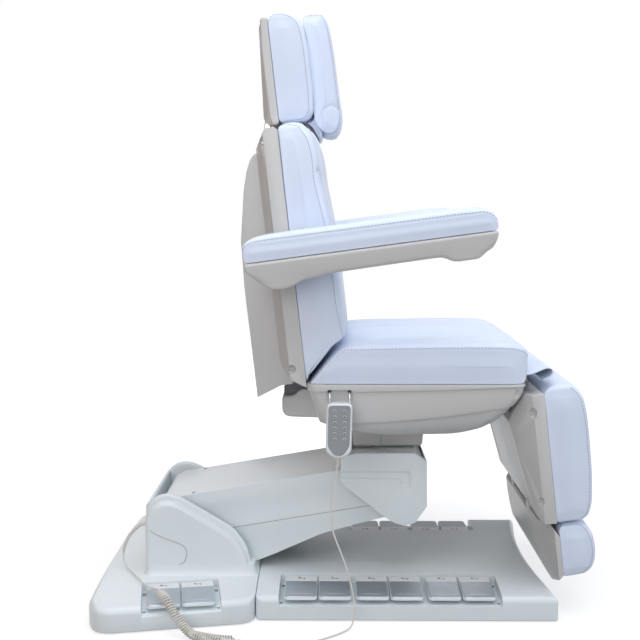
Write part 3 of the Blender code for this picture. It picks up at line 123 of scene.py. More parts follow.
def add_node(tree: bpy.types.NodeTree, kind: str, settings: dict[str, Any] | None = None,
             inputs: dict[Any, Any] | None = None) -> bpy.types.Node:
    """Add one node, set its properties and fill or link its inputs.

    Args:
        tree: node tree that takes the node.
        kind: Blender's type name of the node.
        settings: properties by name.
        inputs: socket name or number, with a value or the output socket that feeds it.

    Returns:
        The new node.
    """
    made = tree.nodes.new(kind)
    for key, value in (settings or {}).items():
        setattr(made, key, value)
    for key, value in (inputs or {}).items():
        if isinstance(value, bpy.types.NodeSocket):
            tree.links.new(value, made.inputs[key])
        else:
            made.inputs[key].default_value = value
    return made


def bare_material(name: str) -> bpy.types.Material:
    """Material with an empty node tree.

    Args:
        name: name of the material.

    Returns:
        The new material.
    """
    made = bpy.data.materials.new(name)
    made.use_nodes = True
    made.node_tree.nodes.clear()
    return made


@dataclass(frozen=True)
class Finish:
    """A surface finish: two colours that drift into each other, a grain and a gloss.

    grain_mm is the size of one grain, drift_mm of one patch of colour drift. The bump is a height in
    millimetres. stretch pulls the grain out along X, as brushing does.
    """

    name: str
    colour: str
    drift: str
    rough: float
    grain_mm: float
    bump_mm: float
    drift_mm: float = 60.0
    rough_spread: float = 0.08
    metallic: float = 0.0
    sheen: float = 0.0
    coat: float = 0.0
    cells: bool = False
    stretch: tuple[float, float, float] = (1.0, 1.0, 1.0)

    def material(self) -> bpy.types.Material:
        """Node material of this finish, made once.

        Returns:
            The material.
        """
        if self.name in bpy.data.materials:
            return bpy.data.materials[self.name]
        made = bpy.data.materials.new(self.name)
        made.use_nodes = True
        tree = made.node_tree
        shader = tree.nodes["Principled BSDF"]
        shader.inputs["Metallic"].default_value = self.metallic
        shader.inputs["Sheen Weight"].default_value = self.sheen
        shader.inputs["Coat Weight"].default_value = self.coat
        place = add_node(tree, "ShaderNodeTexCoord").outputs["Object"]
        pulled = add_node(tree, "ShaderNodeMapping", inputs={0: place, "Scale": self.stretch}).outputs[0]
        patches = add_node(
            tree, "ShaderNodeTexNoise", inputs={0: place, "Scale": 1000.0 / self.drift_mm, "Detail": 3.0})
        tint = add_node(tree, "ShaderNodeMix", {"data_type": "RGBA"},
                        {0: patches.outputs[0], 6: linear(self.colour), 7: linear(self.drift)})
        tree.links.new(tint.outputs[2], shader.inputs["Base Color"])
        if self.cells:
            grain = add_node(
                tree, "ShaderNodeTexVoronoi", {"feature": "SMOOTH_F1"},
                {"Vector": pulled, "Scale": 1000.0 / self.grain_mm, "Randomness": 0.85}).outputs[0]
        else:
            grain = add_node(tree, "ShaderNodeTexNoise",
                             inputs={0: pulled, "Scale": 1000.0 / self.grain_mm, "Detail": 4.0}).outputs[0]
        gloss = add_node(tree, "ShaderNodeMapRange",
                         inputs={0: patches.outputs[0], 3: self.rough - self.rough_spread,
                                 4: self.rough + self.rough_spread}).outputs[0]
        tree.links.new(gloss, shader.inputs["Roughness"])
        relief = add_node(tree, "ShaderNodeBump", {"invert": self.cells},
                          {"Strength": 1.0, "Distance": self.bump_mm * MM, "Height": grain})
        tree.links.new(relief.outputs[0], shader.inputs["Normal"])
        return made


# Coated vinyl cloth, embossed with a fine pebble: soft highlights and a cool lavender white.
# The pebble is about 0.9 mm on the real cloth and is drawn at 1.6 mm so that it shows.
VINYL = Finish("pebbled_vinyl", "#DDE6F6", "#D3DDF0", 0.42, 1.6, 0.05, 140.0, sheen=0.08, cells=True)
# Polyester sewing thread, a shade greyer than the vinyl.
THREAD = Finish("sewing_thread", "#9FA6BE", "#AEB4C8", 0.7, 0.6, 0.05, 9.0)
# ABS moulded in a lightly spark-eroded tool: satin, off-white, a faint even grain.
MOULDING = Finish("satin_abs", "#E6EDEF", "#DEE5E8", 0.34, 1.1, 0.012, 180.0)
# The same white ABS, painted a warmer grey as the shade that falls on the shells under the pads.
SHELL_PAINTED_SHADE = Finish("satin_abs_grey", "#CBCAC8", "#C4C3C1", 0.36, 1.1, 0.012, 180.0)
# Shaded parting line between two mouldings.
SEAM_SHADE = Finish("parting_line", "#A9AEB2", "#9EA3A7", 0.6, 1.0, 0.01, 12.0)
# Steel plate under grey powder coat, with its orange-peel waviness.
POWDER_COAT = Finish("grey_powder_coat", "#74777B", "#686B70", 0.46, 1.8, 0.03, 40.0)
# Polished chromium plate on steel wire and tube.
CHROME = Finish("bright_chrome", "#D2D4D8", "#C4C7CC", 0.1, 3.0, 0.002, 25.0, 0.03, metallic=1.0)
# Brushed aluminium foil on the pedal plates, brushed along X.
PEDAL_METAL = Finish("brushed_pedal_plate", "#C2CAD1", "#B3BBC3", 0.36, 1.4, 0.012, 30.0, 0.06,
                     metallic=0.7, stretch=(0.06, 1.0, 1.0))
# White printed label film on the pedals' inner strips.
LABEL_FILM = Finish("label_film", "#E6E8E8", "#DEE1E2", 0.4, 2.0, 0.006, 30.0)
# Dark grey printing ink, and the same grey painted into holes as the shadow inside them.
INK_AND_PAINTED_SHADOW = Finish("dark_ink", "#3C3F45", "#34373C", 0.6, 1.0, 0.01, 8.0)
# PVC cord sheath, matt off-white, slightly yellowed.
SHEATH = Finish("cord_sheath", "#E0DDD6", "#D3CFC6", 0.48, 0.9, 0.02, 20.0)
# Keypad foil, mid grey polyester with a fine texture.
KEY_FOIL = Finish("keypad_foil", "#96999B", "#8D9093", 0.44, 0.7, 0.015, 14.0)
# Raised rubber keys.
KEY_RUBBER = Finish("key_rubber", "#B4B7B9", "#A9ADB0", 0.5, 0.6, 0.012, 8.0)
# Zinc-plated screw heads.
SCREW = Finish("zinc_screw", "#A6A8AA", "#8E9194", 0.3, 0.8, 0.008, 6.0, metallic=0.9)
# Moulded nylon of the actuators' motors and bellows, matt black.
NYLON = Finish("black_nylon", "#2B2C2F", "#232427", 0.52, 1.2, 0.02, 30.0)


# Shapes


@dataclass(frozen=True)
class Placement:
    """A frame in the bed's side view: its origin and how far its upright leans to the rear, in degrees."""

    x: float = 0.0
    z: float = 0.0
    lean: float = 0.0

    def world(self, forward: Array, across: Array, up: Array) -> Array:
        """Points in metres: the forward and up axes turned by the lean, then moved to the origin.

        Args:
            forward: distances along the frame's forward axis, mm.
            across: Y, mm.
            up: distances along the frame's upright, mm.

        Returns:
            Array of points with a last axis of three.
        """
        forward, across, up = np.broadcast_arrays(forward, across, up)
        c, s = math.cos(math.radians(self.lean)), math.sin(math.radians(self.lean))
        return np.stack([self.x + forward * c - up * s, across, self.z + forward * s + up * c], -1) * MM


GROUND = Placement()
LIFT = Placement(-435.0, 190.0, 9.6)
YOKE = Placement(125.05, 284.73)
BACK = Placement(-105.0, 560.0, 6.35)
ARMREST = Placement(-157.4, 850.0, 7.6)
LEG = Placement(453.0, 570.0, 7.0)


def fillet(outline: Points, radius: float, steps: int = 6) -> Array:
    """Round each corner of a closed outline with a parabola between points set off along its two edges.

    The parabola through a, corner and b is (1-t)^2 a + 2t(1-t) corner + t^2 b. The set-off is the
    radius, but never more than 0.45 of the shorter edge.

    Args:
        outline: corner points (m, 2).
        radius: set-off in mm.
        steps: points on each rounded corner.

    Returns:
        Points (m * steps, 2).
    """
    corner = np.asarray(outline, float)
    before, after = np.roll(corner, 1, 0) - corner, np.roll(corner, -1, 0) - corner
    reach_a, reach_b = (np.linalg.norm(v, axis=1, keepdims=True) for v in (before, after))
    off = np.minimum(radius, 0.45 * np.minimum(reach_a, reach_b))
    a, b = corner + before / reach_a * off, corner + after / reach_b * off
    t = np.linspace(0.0, 1.0, steps)[None, :, None]
    return ((1 - t) ** 2 * a[:, None] + 2 * t * (1 - t) * corner[:, None] + t ** 2
            * b[:, None]).reshape(-1, 2)


def resample(points: Array, count: int, closed: bool = True) -> Array:
    """Spread points evenly by arc length along a line.

    Args:
        points: (m, d) line.
        count: number of points wanted.
        closed: whether the line runs back to its start.

    Returns:
        (count, d) points.
    """
    line = np.vstack([points, points[:1]]) if closed else points
    reach = np.concatenate([[0.0], np.cumsum(np.linalg.norm(np.diff(line, axis=0), axis=1))])
    want = np.linspace(0.0, reach[-1], count, endpoint=not closed)
    return np.stack([np.interp(want, reach, line[:, i]) for i in range(line.shape[1])], -1)


def run_length(line: Array) -> float:
    """Length of a line through points.

    Args:
        line: (m, d) points.

    Returns:
        The sum of its steps, in the points' own unit.
    """
    return float(np.linalg.norm(np.diff(line, axis=0), axis=1).sum())


def inward(loop: Array) -> Array:
    """Unit normals of a closed outline that point into it: the tangent turned a quarter turn.

    Args:
        loop: (m, 2) closed outline.

    Returns:
        (m, 2) normals.
    """
    run = np.roll(loop, -1, 0) - np.roll(loop, 1, 0)
    run = run / np.maximum(np.linalg.norm(run, axis=1, keepdims=True), 1e-9)
    after = np.roll(loop, -1, 0)
    area = float(np.sum(loop[:, 0] * after[:, 1] - after[:, 0] * loop[:, 1]))
    turned = np.stack([-run[:, 1], run[:, 0]], -1)
    return turned if area > 0 else -turned


def eased(field_on_loop: Array, reach: float, loop: Array) -> Array:
    """Values on a closed outline averaged with a bell curve along it.

    Args:
        field_on_loop: (m, d) values.
        reach: width of the bell curve, mm.
        loop: (m, 2) evenly spaced outline.

    Returns:
        (m, d) averaged values.
    """
    step = float(np.linalg.norm(loop[1] - loop[0]))
    places = np.arange(len(loop))
    away = np.minimum(places, len(loop) - places) * step
    weight = np.exp(-(away / reach) ** 2)
    turned_to = np.fft.fft(weight / weight.sum())[:, None]
    return np.real(np.fft.ifft(np.fft.fft(field_on_loop, axis=0) * turned_to, axis=0))


def surface(name: str, points: Array, caps: bool = True, smooth: float = 180.0, wrap: bool = True) -> Piece:
    """Mesh of a grid of points, its columns closed into rings and its end rings capped.

    Args:
        name: name of the piece.
        points: (rows, columns, 3) in metres.
        caps: whether the first and last rings are closed by a face.
        smooth: edges bent by more than this angle stay sharp.
        wrap: whether each row closes on itself.

    Returns:
        The new object, its faces pointing out.
    """
    rows, columns = points.shape[:2]
    index = np.arange(rows * columns).reshape(rows, columns)
    ring = np.concatenate([index, index[:, :1]], 1) if wrap else index
    quads = np.stack([ring[:-1, :-1], ring[:-1, 1:], ring[1:, 1:], ring[1:, :-1]], -1).reshape(-1, 4)
    faces = quads.tolist()
    if caps:
        faces += [index[0][::-1].tolist(), index[-1].tolist()]
    return from_faces(name, points.reshape(-1, 3), faces, smooth)


def from_faces(name: str, points: Array, faces: list[list[int]], smooth: float = 180.0) -> Piece:
    """Object from points and faces, with its faces turned outwards.

    Args:
        name: name of the piece.
        points: (m, 3) in metres.
        faces: point numbers of each face.
        smooth: edges bent by more than this angle stay sharp.

    Returns:
        The new object at the origin.
    """
    mesh = bpy.data.meshes.new(name)
    mesh.from_pydata(points.tolist(), [], faces)
    build = bmesh.new()
    build.from_mesh(mesh)
    bmesh.ops.remove_doubles(build, verts=build.verts[:], dist=1e-7)
    bmesh.ops.recalc_face_normals(build, faces=build.faces[:])
    build.to_mesh(mesh)
    build.free()
    mesh.shade_smooth()
    if smooth < 180.0:
        mesh.set_sharp_from_angle(angle=math.radians(smooth))
    made = bpy.data.objects.new(name, mesh)
    bpy.context.scene.collection.objects.link(made)
    return made


def rounded_prism(name: str, place: Placement, outline: Points, y0: float, y1: float,
                  corner: float, edge: float, count: int = 120,
                  taper: Curve | None = None) -> Piece:
    """Side outline carried across Y, with rounded corners and rounded rims.

    Each rim is a quarter circle: the outline is drawn in by edge(1 - sin a) where Y has come in by
    edge(1 - cos a). A taper narrows the piece in Y by a share that depends on the height.

    Args:
        name: name of the piece.
        place: frame of the outline.
        outline: corner points (forward, up), mm.
        y0: lower Y, mm.
        y1: upper Y, mm.
        corner: rounding of the outline's corners, mm.
        edge: radius of the rims, mm.
        count: points round the outline.
        taper: heights and the share of the width kept at each.

    Returns:
        The new piece.
    """
    loop = resample(fillet(outline, corner), count)
    normal = inward(loop)
    turn = np.linspace(0.0, math.pi / 2, 6)
    rim_in, rim_y = (np.append(first, edge * (1 - wave(turn)))
                     for first, wave in ((edge + 0.8, np.sin), (0.0, np.cos)))
    across = np.concatenate([y0 + rim_y, (y1 - rim_y)[::-1]])
    inset = np.concatenate([rim_in, rim_in[::-1]])
    rings = loop[None] + inset[:, None, None] * eased(normal, 0.5 * edge + 0.1, loop)[None]
    middle = (y0 + y1) / 2
    share = np.interp(rings[..., 1], *taper) if taper else 1.0
    return surface(name,
                   place.world(rings[..., 0], middle + (across[:, None] - middle) * share, rings[..., 1]),
                   smooth=50.0)


def rounded_loft(name: str, place: Placement, levels: Points, steps: int = 7) -> Piece:
    """Shell form built from rounded rectangles in the plane across and up, one at each depth.

    Each level is (forward, half width, low, high, corner radius). A ring runs round its rectangle with a
    quarter circle of that radius at each corner.

    Args:
        name: name of the piece.
        place: frame of the levels.
        levels: the rectangles, front to rear, mm.
        steps: points on each corner.

    Returns:
        The new piece.
    """
    level = np.asarray(levels, float)
    turn = np.linspace(0.0, math.pi / 2, steps)
    angle = (np.arange(4)[:, None] * math.pi / 2 + turn[None]).ravel()
    sign_y = np.repeat([1.0, -1.0, -1.0, 1.0], steps)
    sign_l = np.repeat([1.0, 1.0, -1.0, -1.0], steps)
    half, low, high, radius = (level[:, i][:, None] for i in (1, 2, 3, 4))
    across = sign_y * (half - radius) + radius * np.cos(angle)
    middle, reach = (low + high) / 2, (high - low) / 2
    up = middle + sign_l * (reach - radius) + radius * np.sin(angle)
    return surface(name, place.world(level[:, 0][:, None], across, up), smooth=40.0)


def smooth_line(points: Points, step: float) -> Array:
    """Smooth cubic curve through points, spaced evenly.

    Each stretch is the cubic with the points' own central differences as its tangents.

    Args:
        points: (m, 3) in mm.
        step: spacing wanted, mm.

    Returns:
        (k, 3) points in mm.
    """
    p = np.asarray(points, float)
    run = np.gradient(p, axis=0)
    t = np.linspace(0.0, 1.0, 24, endpoint=False)[None, :, None]
    a, b, ta, tb = p[:-1, None], p[1:, None], run[:-1, None], run[1:, None]
    curve = ((2 * t ** 3 - 3 * t ** 2 + 1) * a + (t ** 3 - 2 * t ** 2 + t) * ta
             + (3 * t ** 2 - 2 * t ** 3) * b + (t ** 3 - t ** 2) * tb).reshape(-1, 3)
    curve = np.vstack([curve, p[-1:]])
    return resample(curve, max(3, int(round(run_length(curve) / step)) + 1), closed=False)


def tube(name: str, line: Array, radius: float | Array, sides: int = 12) -> Piece:
    """Round tube along a line, its rings carried without twist.

    Each ring is centre + r(cos a u + sin a v), where u and v are carried from ring to ring by taking
    off the part along the new tangent.

    Args:
        name: name of the piece.
        line: (m, 3) in mm.
        radius: one radius, or one for each ring, mm.
        sides: points on a ring.

    Returns:
        The new piece.
    """
    run = np.gradient(line, axis=0)
    run /= np.linalg.norm(run, axis=1, keepdims=True)
    u = np.cross(run[0], (0.3, 0.5, 0.8))
    frames = []
    for tangent in run:
        u = u - tangent * np.dot(u, tangent)
        u = u / np.linalg.norm(u)
        frames.append(u)
    first = np.array(frames)
    second = np.cross(run, first)
    turn = np.linspace(0.0, 2 * math.pi, sides, endpoint=False)[None, :, None]
    size = np.broadcast_to(np.asarray(radius, float), (len(line),))[:, None, None]
    rings = line[:, None] + size * (np.cos(turn) * first[:, None] + np.sin(turn) * second[:, None])
    return surface(name, rings * MM, smooth=50.0)


def turned(name: str, base: Point, axis: Point, profile: Points,
           sides: int = 20) -> Piece:
    """Turned form: a profile of (along, radius) carried round an axis.

    Args:
        name: name of the piece.
        base: start of the axis, mm.
        axis: direction of the axis.
        profile: (along, radius) pairs, mm.
        sides: points on a ring.

    Returns:
        The new piece.
    """
    way = np.asarray(axis, float) / np.linalg.norm(axis)
    u = np.cross(way, (0.31, 0.52, 0.79))
    u /= np.linalg.norm(u)
    v = np.cross(way, u)
    along, radius = np.asarray(profile, float).T[:, :, None, None]
    turn = np.linspace(0.0, 2 * math.pi, sides, endpoint=False)[None, :, None]
    rings = np.asarray(base, float) + along * way + radius * (np.cos(turn) * u + np.sin(turn) * v)
    return surface(name, rings * MM, smooth=40.0)


def joined(name: str, pieces: Sequence[Piece]) -> Piece:
    """Join several pieces of one finish into the first.

    Args:
        name: name of the result.
        pieces: pieces at the origin.

    Returns:
        The joined piece.
    """
    build = bmesh.new()
    for piece in pieces:
        build.from_mesh(piece.data)
    mesh = pieces[0].data
    build.to_mesh(mesh)
    build.free()
    for piece in pieces[1:]:
        spare = piece.data
        bpy.data.objects.remove(piece)
        bpy.data.meshes.remove(spare)
    pieces[0].name = name
    mesh.name = name
    return pieces[0]


def dress(piece: Piece, finish: Finish, body: str | None, slot: str, *nodes: str) -> Piece:
    """Give a piece its finish and its body, and hide the nodes it stands for.

    Args:
        piece: the piece.
        finish: its finish.
        body: body it rides on, or None for none.
        slot: not used.
        nodes: frame nodes it replaces.

    Returns:
        The same piece.
    """
    piece.data.materials.clear()
    piece.data.materials.append(finish.material())
    if body:
        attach(piece, body)
    if nodes:
        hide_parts(*nodes)
    LOG.info("%s: %s on %s", piece.name, finish.name, body or "two bodies")
    return piece


def parting_line(name: str, points: Points, step: float, body: str) -> None:
    """Thin shaded bead that shows where two mouldings meet.

    Args:
        name: name of the piece.
        points: points of the line, mm.
        step: spacing of its rings, mm.
        body: body it rides on.
    """
    dress(tube(name, smooth_line(points, step), 0.9, 8), SEAM_SHADE, body, "moulding")


def egg(name: str, centre: Point, radii: Point, steps: int = 18) -> Piece:
    """Ellipsoid with its poles on Y: centre + radii (sin a cos b, cos a, sin a sin b).

    Args:
        name: name of the piece.
        centre: its middle, mm.
        radii: half sizes on X, Y and Z, mm.
        steps: rings from pole to pole.

    Returns:
        The new piece.
    """
    a = np.linspace(0.02, math.pi - 0.02, steps)[:, None]
    b = np.linspace(0.0, 2 * math.pi, 2 * steps, endpoint=False)[None]
    unit = np.stack([np.sin(a) * np.cos(b), np.cos(a) + 0 * b, np.sin(a) * np.sin(b)], -1)
    return surface(name, (np.asarray(centre, float) + unit * np.asarray(radii, float)) * MM)


def carved(piece: Piece, cutters: Sequence[Piece], width: float = 0.0, segments: int = 3,
           angle: float = 25.0) -> Piece:
    """Take helper shapes off a piece and round its edges over.

    Args:
        piece: the piece.
        cutters: shapes taken off it and then removed.
        width: width of the rounding, mm, or zero for none.
        segments: steps of the rounding.
        angle: edges sharper than this many degrees are rounded.

    Returns:
        The same piece with its new mesh.
    """
    steps = [(f"cut_{i}", "BOOLEAN", {"object": cutter, "operation": "DIFFERENCE", "solver": "EXACT"})
             for i, cutter in enumerate(cutters)]
    if width:
        steps.append(("ease", "BEVEL", {"width": width * MM, "segments": segments, "limit_method": "ANGLE",
                                        "angle_limit": math.radians(angle), "harden_normals": False,
                                        "use_clamp_overlap": True, "miter_outer": "MITER_ARC"}))
    for label, kind, settings in steps:
        modifier = piece.modifiers.new(label, kind)
        for key, value in settings.items():
            setattr(modifier, key, value)
    bpy.context.view_layer.update()
    shaped = bpy.data.meshes.new_from_object(piece.evaluated_get(bpy.context.evaluated_depsgraph_get()))
    piece.modifiers.clear()
    spare, piece.data = piece.data, shaped
    bpy.data.meshes.remove(spare)
    shaped.name = piece.name
    for cutter in cutters:
        bpy.data.objects.remove(cutter)
    shaped.shade_smooth()
    shaped.set_sharp_from_angle(angle=math.radians(40.0))
    return piece


def eased_copy(name: str, node: Piece, width: float, segments: int = 3, angle: float = 25.0,
               cutters: Sequence[Piece] = ()) -> Piece:
    """Copy of a frame node, merged, cut by helper shapes and with its edges rounded over.

    Args:
        name: name of the copy.
        node: the frame's node.
        width: width of the rounding, mm.
        segments: steps of the rounding.
        angle: edges sharper than this many degrees are rounded.
        cutters: shapes taken off the copy and then removed.

    Returns:
        The new piece at the origin.
    """
    mesh = node.data.copy()
    mesh.name = name
    build = bmesh.new()
    build.from_mesh(mesh)
    bmesh.ops.remove_doubles(build, verts=build.verts[:], dist=2e-6)
    bmesh.ops.dissolve_limit(
        build, angle_limit=math.radians(1.5), verts=build.verts[:], edges=build.edges[:])
    build.to_mesh(mesh)
    build.free()
    made = bpy.data.objects.new(name, mesh)
    bpy.context.scene.collection.objects.link(made)
    return carved(made, cutters, width, segments, angle)


def stitches(name: str, line: Array, normal: Array, pitch: float = 8.0, length: float = 5.2,
             width: float = 1.7) -> Piece:
    """Row of thread dashes on a line: small boxes laid along it, half sunk in the cloth.

    Each dash has corners centre +- t length/2 +- b width/2 +- n 0.4 mm, from the line's tangent t, the
    surface normal n and b = t x n.

    Args:
        name: name of the piece.
        line: (m, 3) in metres.
        normal: (m, 3) surface normals on the line.
        pitch: spacing of the dashes, mm.
        length: length of a dash, mm.
        width: width of a dash, mm.

    Returns:
        All dashes as one piece.
    """
    total = run_length(line) / MM
    both = resample(np.hstack([line, normal * 1e-9]), max(3, int(total / pitch)), closed=False)
    centre, n = both[:, :3], both[:, 3:] * 1e9
    n = n / np.maximum(np.linalg.norm(n, axis=1, keepdims=True), 1e-9)
    t = np.gradient(centre, axis=0)
    t /= np.maximum(np.linalg.norm(t, axis=1, keepdims=True), 1e-9)
    b = np.cross(t, n)
    signs = np.array([(i, j, k) for i in (-1, 1) for j in (-1, 1) for k in (-1, 1)], float) * MM
    shape = signs * (length / 2, width / 2, 0.45)
    corners = ((centre + 0.15 * MM * n)[:, None] + shape[None, :, :1] * t[:, None]
               + shape[None, :, 1:2] * b[:, None] + shape[None, :, 2:] * n[:, None])
    sides = np.array([(0, 1, 3, 2), (4, 6, 7, 5), (0, 4, 5, 1), (2, 3, 7, 6), (0, 2, 6, 4), (1, 5, 7, 3)])
    faces = (np.arange(len(centre))[:, None, None] * 8 + sides[None]).reshape(-1, 4)
    return from_faces(name, corners.reshape(-1, 3), faces.tolist(), 30.0)


# Pads


@dataclass(frozen=True)
class Channel:
    """A sewn channel on a pad's face: where it runs across, at places along the pad, and its depth in mm."""

    along: tuple[float, ...]
    across: tuple[float, ...]
    depth: float = 6.0
    half: float = 5.5


@dataclass
class PadForm:
    """An upholstered pad: a side outline carried across the bed.

    outline holds (forward, up) corners in the frame of place. face is the direction in that frame that
    the padded face looks. along picks the outline axis that the widths and channels run by.
    """

    name: str
    node: str
    body: str
    place: Placement
    outline: Points
    face: tuple[float, float]
    half: float
    widths: Curve
    along: int = 1
    middle: float = 0.0
    corner: float = 26.0
    edge: float = 28.0
    crown: Curve = ((0,), (14,))
    bulge: float = 5.0
    seam: float = 0.5
    seam_depth: float = 2.2
    fill: float = 0.75
    channels: tuple[Channel, ...] = ()
    seam_from: float = -0.3
    count: int = 190
    spacing: float = 6.5
    square: float = 0.65
    tight: Curve = ((0,), (1,))
    hollow: float = 0.0
    rows: tuple[int, ...] = (2,)
    points: Array = field(init=False, repr=False, default=None)
    loop: Array = field(init=False, repr=False, default=None)
    front: Array = field(init=False, repr=False, default=None)
    across: Array = field(init=False, repr=False, default=None)
    rings: dict[str, int] = field(init=False, repr=False, default_factory=dict)

    def shape(self) -> Array:
        """Grid of the pad's surface.

        Rows go from the right-hand side panel over the face to the left-hand one. A side panel is the
        outline scaled by k towards its middle line, bulged by b s(1 - k) with s(x) = x^2 (3 - 2x). A
        shoulder draws the outline in by e(1 - sin^p a) as Y comes in by e(1 - cos^p a), with a
        bell-shaped pinch at the seam and small gathers along it. Over the face the cloth drops by
        crown (y/half)^2.6 towards the sides and dips by a bell curve at each channel.

        Returns:
            (rows, count, 3) points in metres.
        """
        loop = resample(fillet(self.outline, self.corner, 10), self.count)
        normal = inward(loop)
        face = np.asarray(self.face) / np.linalg.norm(self.face)
        front, rear = np.clip(-(normal @ face), 0.0, 1.0), np.clip(normal @ face, 0.0, 1.0)
        rim = (0.05 + 0.95
               * np.clip(0.5 - 0.9 * (normal @ face), 0.0,
                         1.0)) * np.interp(loop[:, self.along], *self.tight)
        rim = np.clip(eased(rim[:, None], 8.0, loop)[:, 0], 0.0, 1.0)
        place_along = loop[:, self.along]
        arc = np.concatenate([[0.0], np.cumsum(np.linalg.norm(np.diff(loop, axis=0), axis=1))])
        flat = self.half - self.bulge
        k = np.linspace(0.04, 1.0, 12)[:-1]
        turn = np.linspace(0.0, math.pi / 2, 19)
        depth, come = (self.edge * (1 - wave(turn) ** self.square)
                       for wave in (np.sin, lambda v: np.clip(np.cos(v), 0.0, 1.0)))
        shoulder = np.stack([self.drawn_in(loop, rim, value) for value in depth])
        spine = self.spine(shoulder[0])
        panel = np.stack([spine + (eased(shoulder[0], 0.2 + 45.0 * (1 - s), loop) - spine) * s for s in k])
        tops = np.linspace(
            self.edge - flat, flat - self.edge, int(2 * (flat - self.edge) / self.spacing))[1:-1]
        puff = self.bulge * (1 - k) ** 2 * (1 + 2 * k)
        across = np.concatenate([-flat - puff, come - flat, tops, flat - come[::-1], flat + puff[::-1]])
        still = np.full(len(k), -9.0)
        a = np.concatenate([still, turn, np.full(len(tops), math.pi / 2), turn[::-1], still])
        pinch, gather = np.exp(-((a - self.seam) / 0.1) ** 2), 0.5 * np.exp(-((a - self.seam) / 0.35) ** 2)
        ripple = np.sin(arc * 2 * math.pi / 17.0) * np.sin(arc * 2 * math.pi / 131.0 + 0.7)
        rings = np.concatenate(
            [panel, shoulder, np.broadcast_to(loop, (len(tops), *loop.shape)), shoulder[::-1], panel[::-1]])
        inset = self.seam_depth * pinch[:, None] * rim[None] + (gather[:, None] * ripple[None]) * rim[None]
        rings = rings + inset[..., None] * eased(normal, 0.5 * self.edge, loop)[None]
        y = across[:, None] * np.interp(rings[..., self.along], *self.widths) / self.half
        fall = np.clip(np.abs(across) / flat, 0.0, 1.0)[:, None] ** 2.6
        drop = np.interp(place_along, *self.crown)[None] * fall
        for channel in self.channels:
            line = np.interp(place_along, channel.along, channel.across)[None]
            keep = ((place_along > min(channel.along)) & (place_along < max(channel.along)))[None]
            drop = drop + keep * channel.depth * np.exp(
                -((np.abs(across)[:, None] - line) / channel.half) ** 2)
        scale = np.concatenate([k, np.ones(len(a) - 2 * len(k)), k[::-1]])[:, None]
        rings = rings - ((drop * front[None] + self.hollow * fall * rear[None]) * scale)[..., None] * face
        self.rings = {"right": len(k) + int(np.argmin(np.abs(turn - self.seam)))}
        self.rings["left"] = len(a) - 1 - self.rings["right"]
        self.loop, self.front, self.across = loop, front, across
        return self.place.world(rings[..., 0], self.middle + y, rings[..., 1])

    def drawn_in(self, loop: Array, rim: Array, depth: float) -> Array:
        """Outline drawn in by a depth: eased over the same reach first, so that tight corners do not fold.

        Args:
            loop: (count, 2) outline.
            rim: share of the depth taken at each point.
            depth: how far it is drawn in, mm.

        Returns:
            (count, 2) outline.
        """
        if depth < 0.01:
            return loop
        soft = loop + rim[:, None] * (eased(loop, 0.9 * depth + 0.2, loop) - loop)
        return soft + depth * rim[:, None] * eased(inward(soft), 0.5 * depth + 0.2, loop)

    def spine(self, loop: Array) -> Array:
        """Point of the pad's middle line that each point of an outline draws in to.

        The middle line halves the outline's thickness at each place along, and stops half a thickness
        short of both ends.

        Args:
            loop: (count, 2) outline.

        Returns:
            (count, 2) points.
        """
        run, thick = loop[:, self.along], loop[:, 1 - self.along]
        bins = np.linspace(run.min(), run.max(), 41)
        slot = np.clip(np.digitize(run, bins) - 1, 0, 39)
        high, low = np.full(40, -1e9), np.full(40, 1e9)
        np.maximum.at(high, slot, thick)
        np.minimum.at(low, slot, thick)
        used = high > -1e8
        middle = (bins[:-1] + bins[1:]) / 2
        stop = 0.5 * float(np.median((high - low)[used]))
        place = np.clip(run, run.min() + stop, run.max() - stop)
        level = np.interp(place, middle[used], ((high + low) / 2)[used])
        return np.stack([place, level] if self.along == 0 else [level, place], -1)

    def normals(self) -> Array:
        """Unit normals of the grid, from the cross product of its two central differences.

        Returns:
            (rows, count, 3) normals that point out.
        """
        down = np.gradient(self.points, axis=0)
        run = np.roll(self.points, -1, 1) - np.roll(self.points, 1, 1)
        n = np.cross(run, down)
        n /= np.maximum(np.linalg.norm(n, axis=2, keepdims=True), 1e-12)
        middle = self.points.reshape(-1, 3).mean(0)
        sign = np.sign(np.sum(n * (self.points - middle), axis=2, keepdims=True).mean())
        return n * sign

    def build(self) -> Piece:
        """Make the pad and its rows of stitching, and dress them.

        Returns:
            The pad.
        """
        self.points = self.shape()
        piece = dress(surface(self.name, self.points), VINYL, self.body, "vinyl", self.node)
        normal = self.normals()
        shown = self.front > self.seam_from
        start = int(np.argmax(~shown & np.roll(shown, -1))) + 1 if not shown.all() else 0
        order = (np.arange(self.count) + start) % self.count
        order = order[shown[order]]
        rows = []
        for label, way in (("right", 1), ("left", -1)):
            for shift in self.rows:
                ring = self.rings[label] + way * shift
                rows.append(stitches(f"{self.name}_{label}_{shift}", self.points[ring][order],
                                     normal[ring][order]))
        for number, channel in enumerate(self.channels):
            spot = self.loop[order, self.along]
            inside = (spot > min(channel.along) + 6) & (spot < max(channel.along) - 6)
            lined = order[inside & (self.front[order] > 0.6)]
            place = np.interp(self.loop[lined, self.along], channel.along, channel.across)
            for sign in (-1.0, 1.0):
                ring = np.array([int(np.argmin(np.abs(self.across - sign * value))) for value in place])
                rows.append(stitches(f"{self.name}_channel_{number}_{sign:+.0f}", self.points[ring, lined],
                                     normal[ring, lined], width=1.2))
        dress(joined(f"{self.name}_stitching", rows), THREAD, self.body, "vinyl")
        return piece


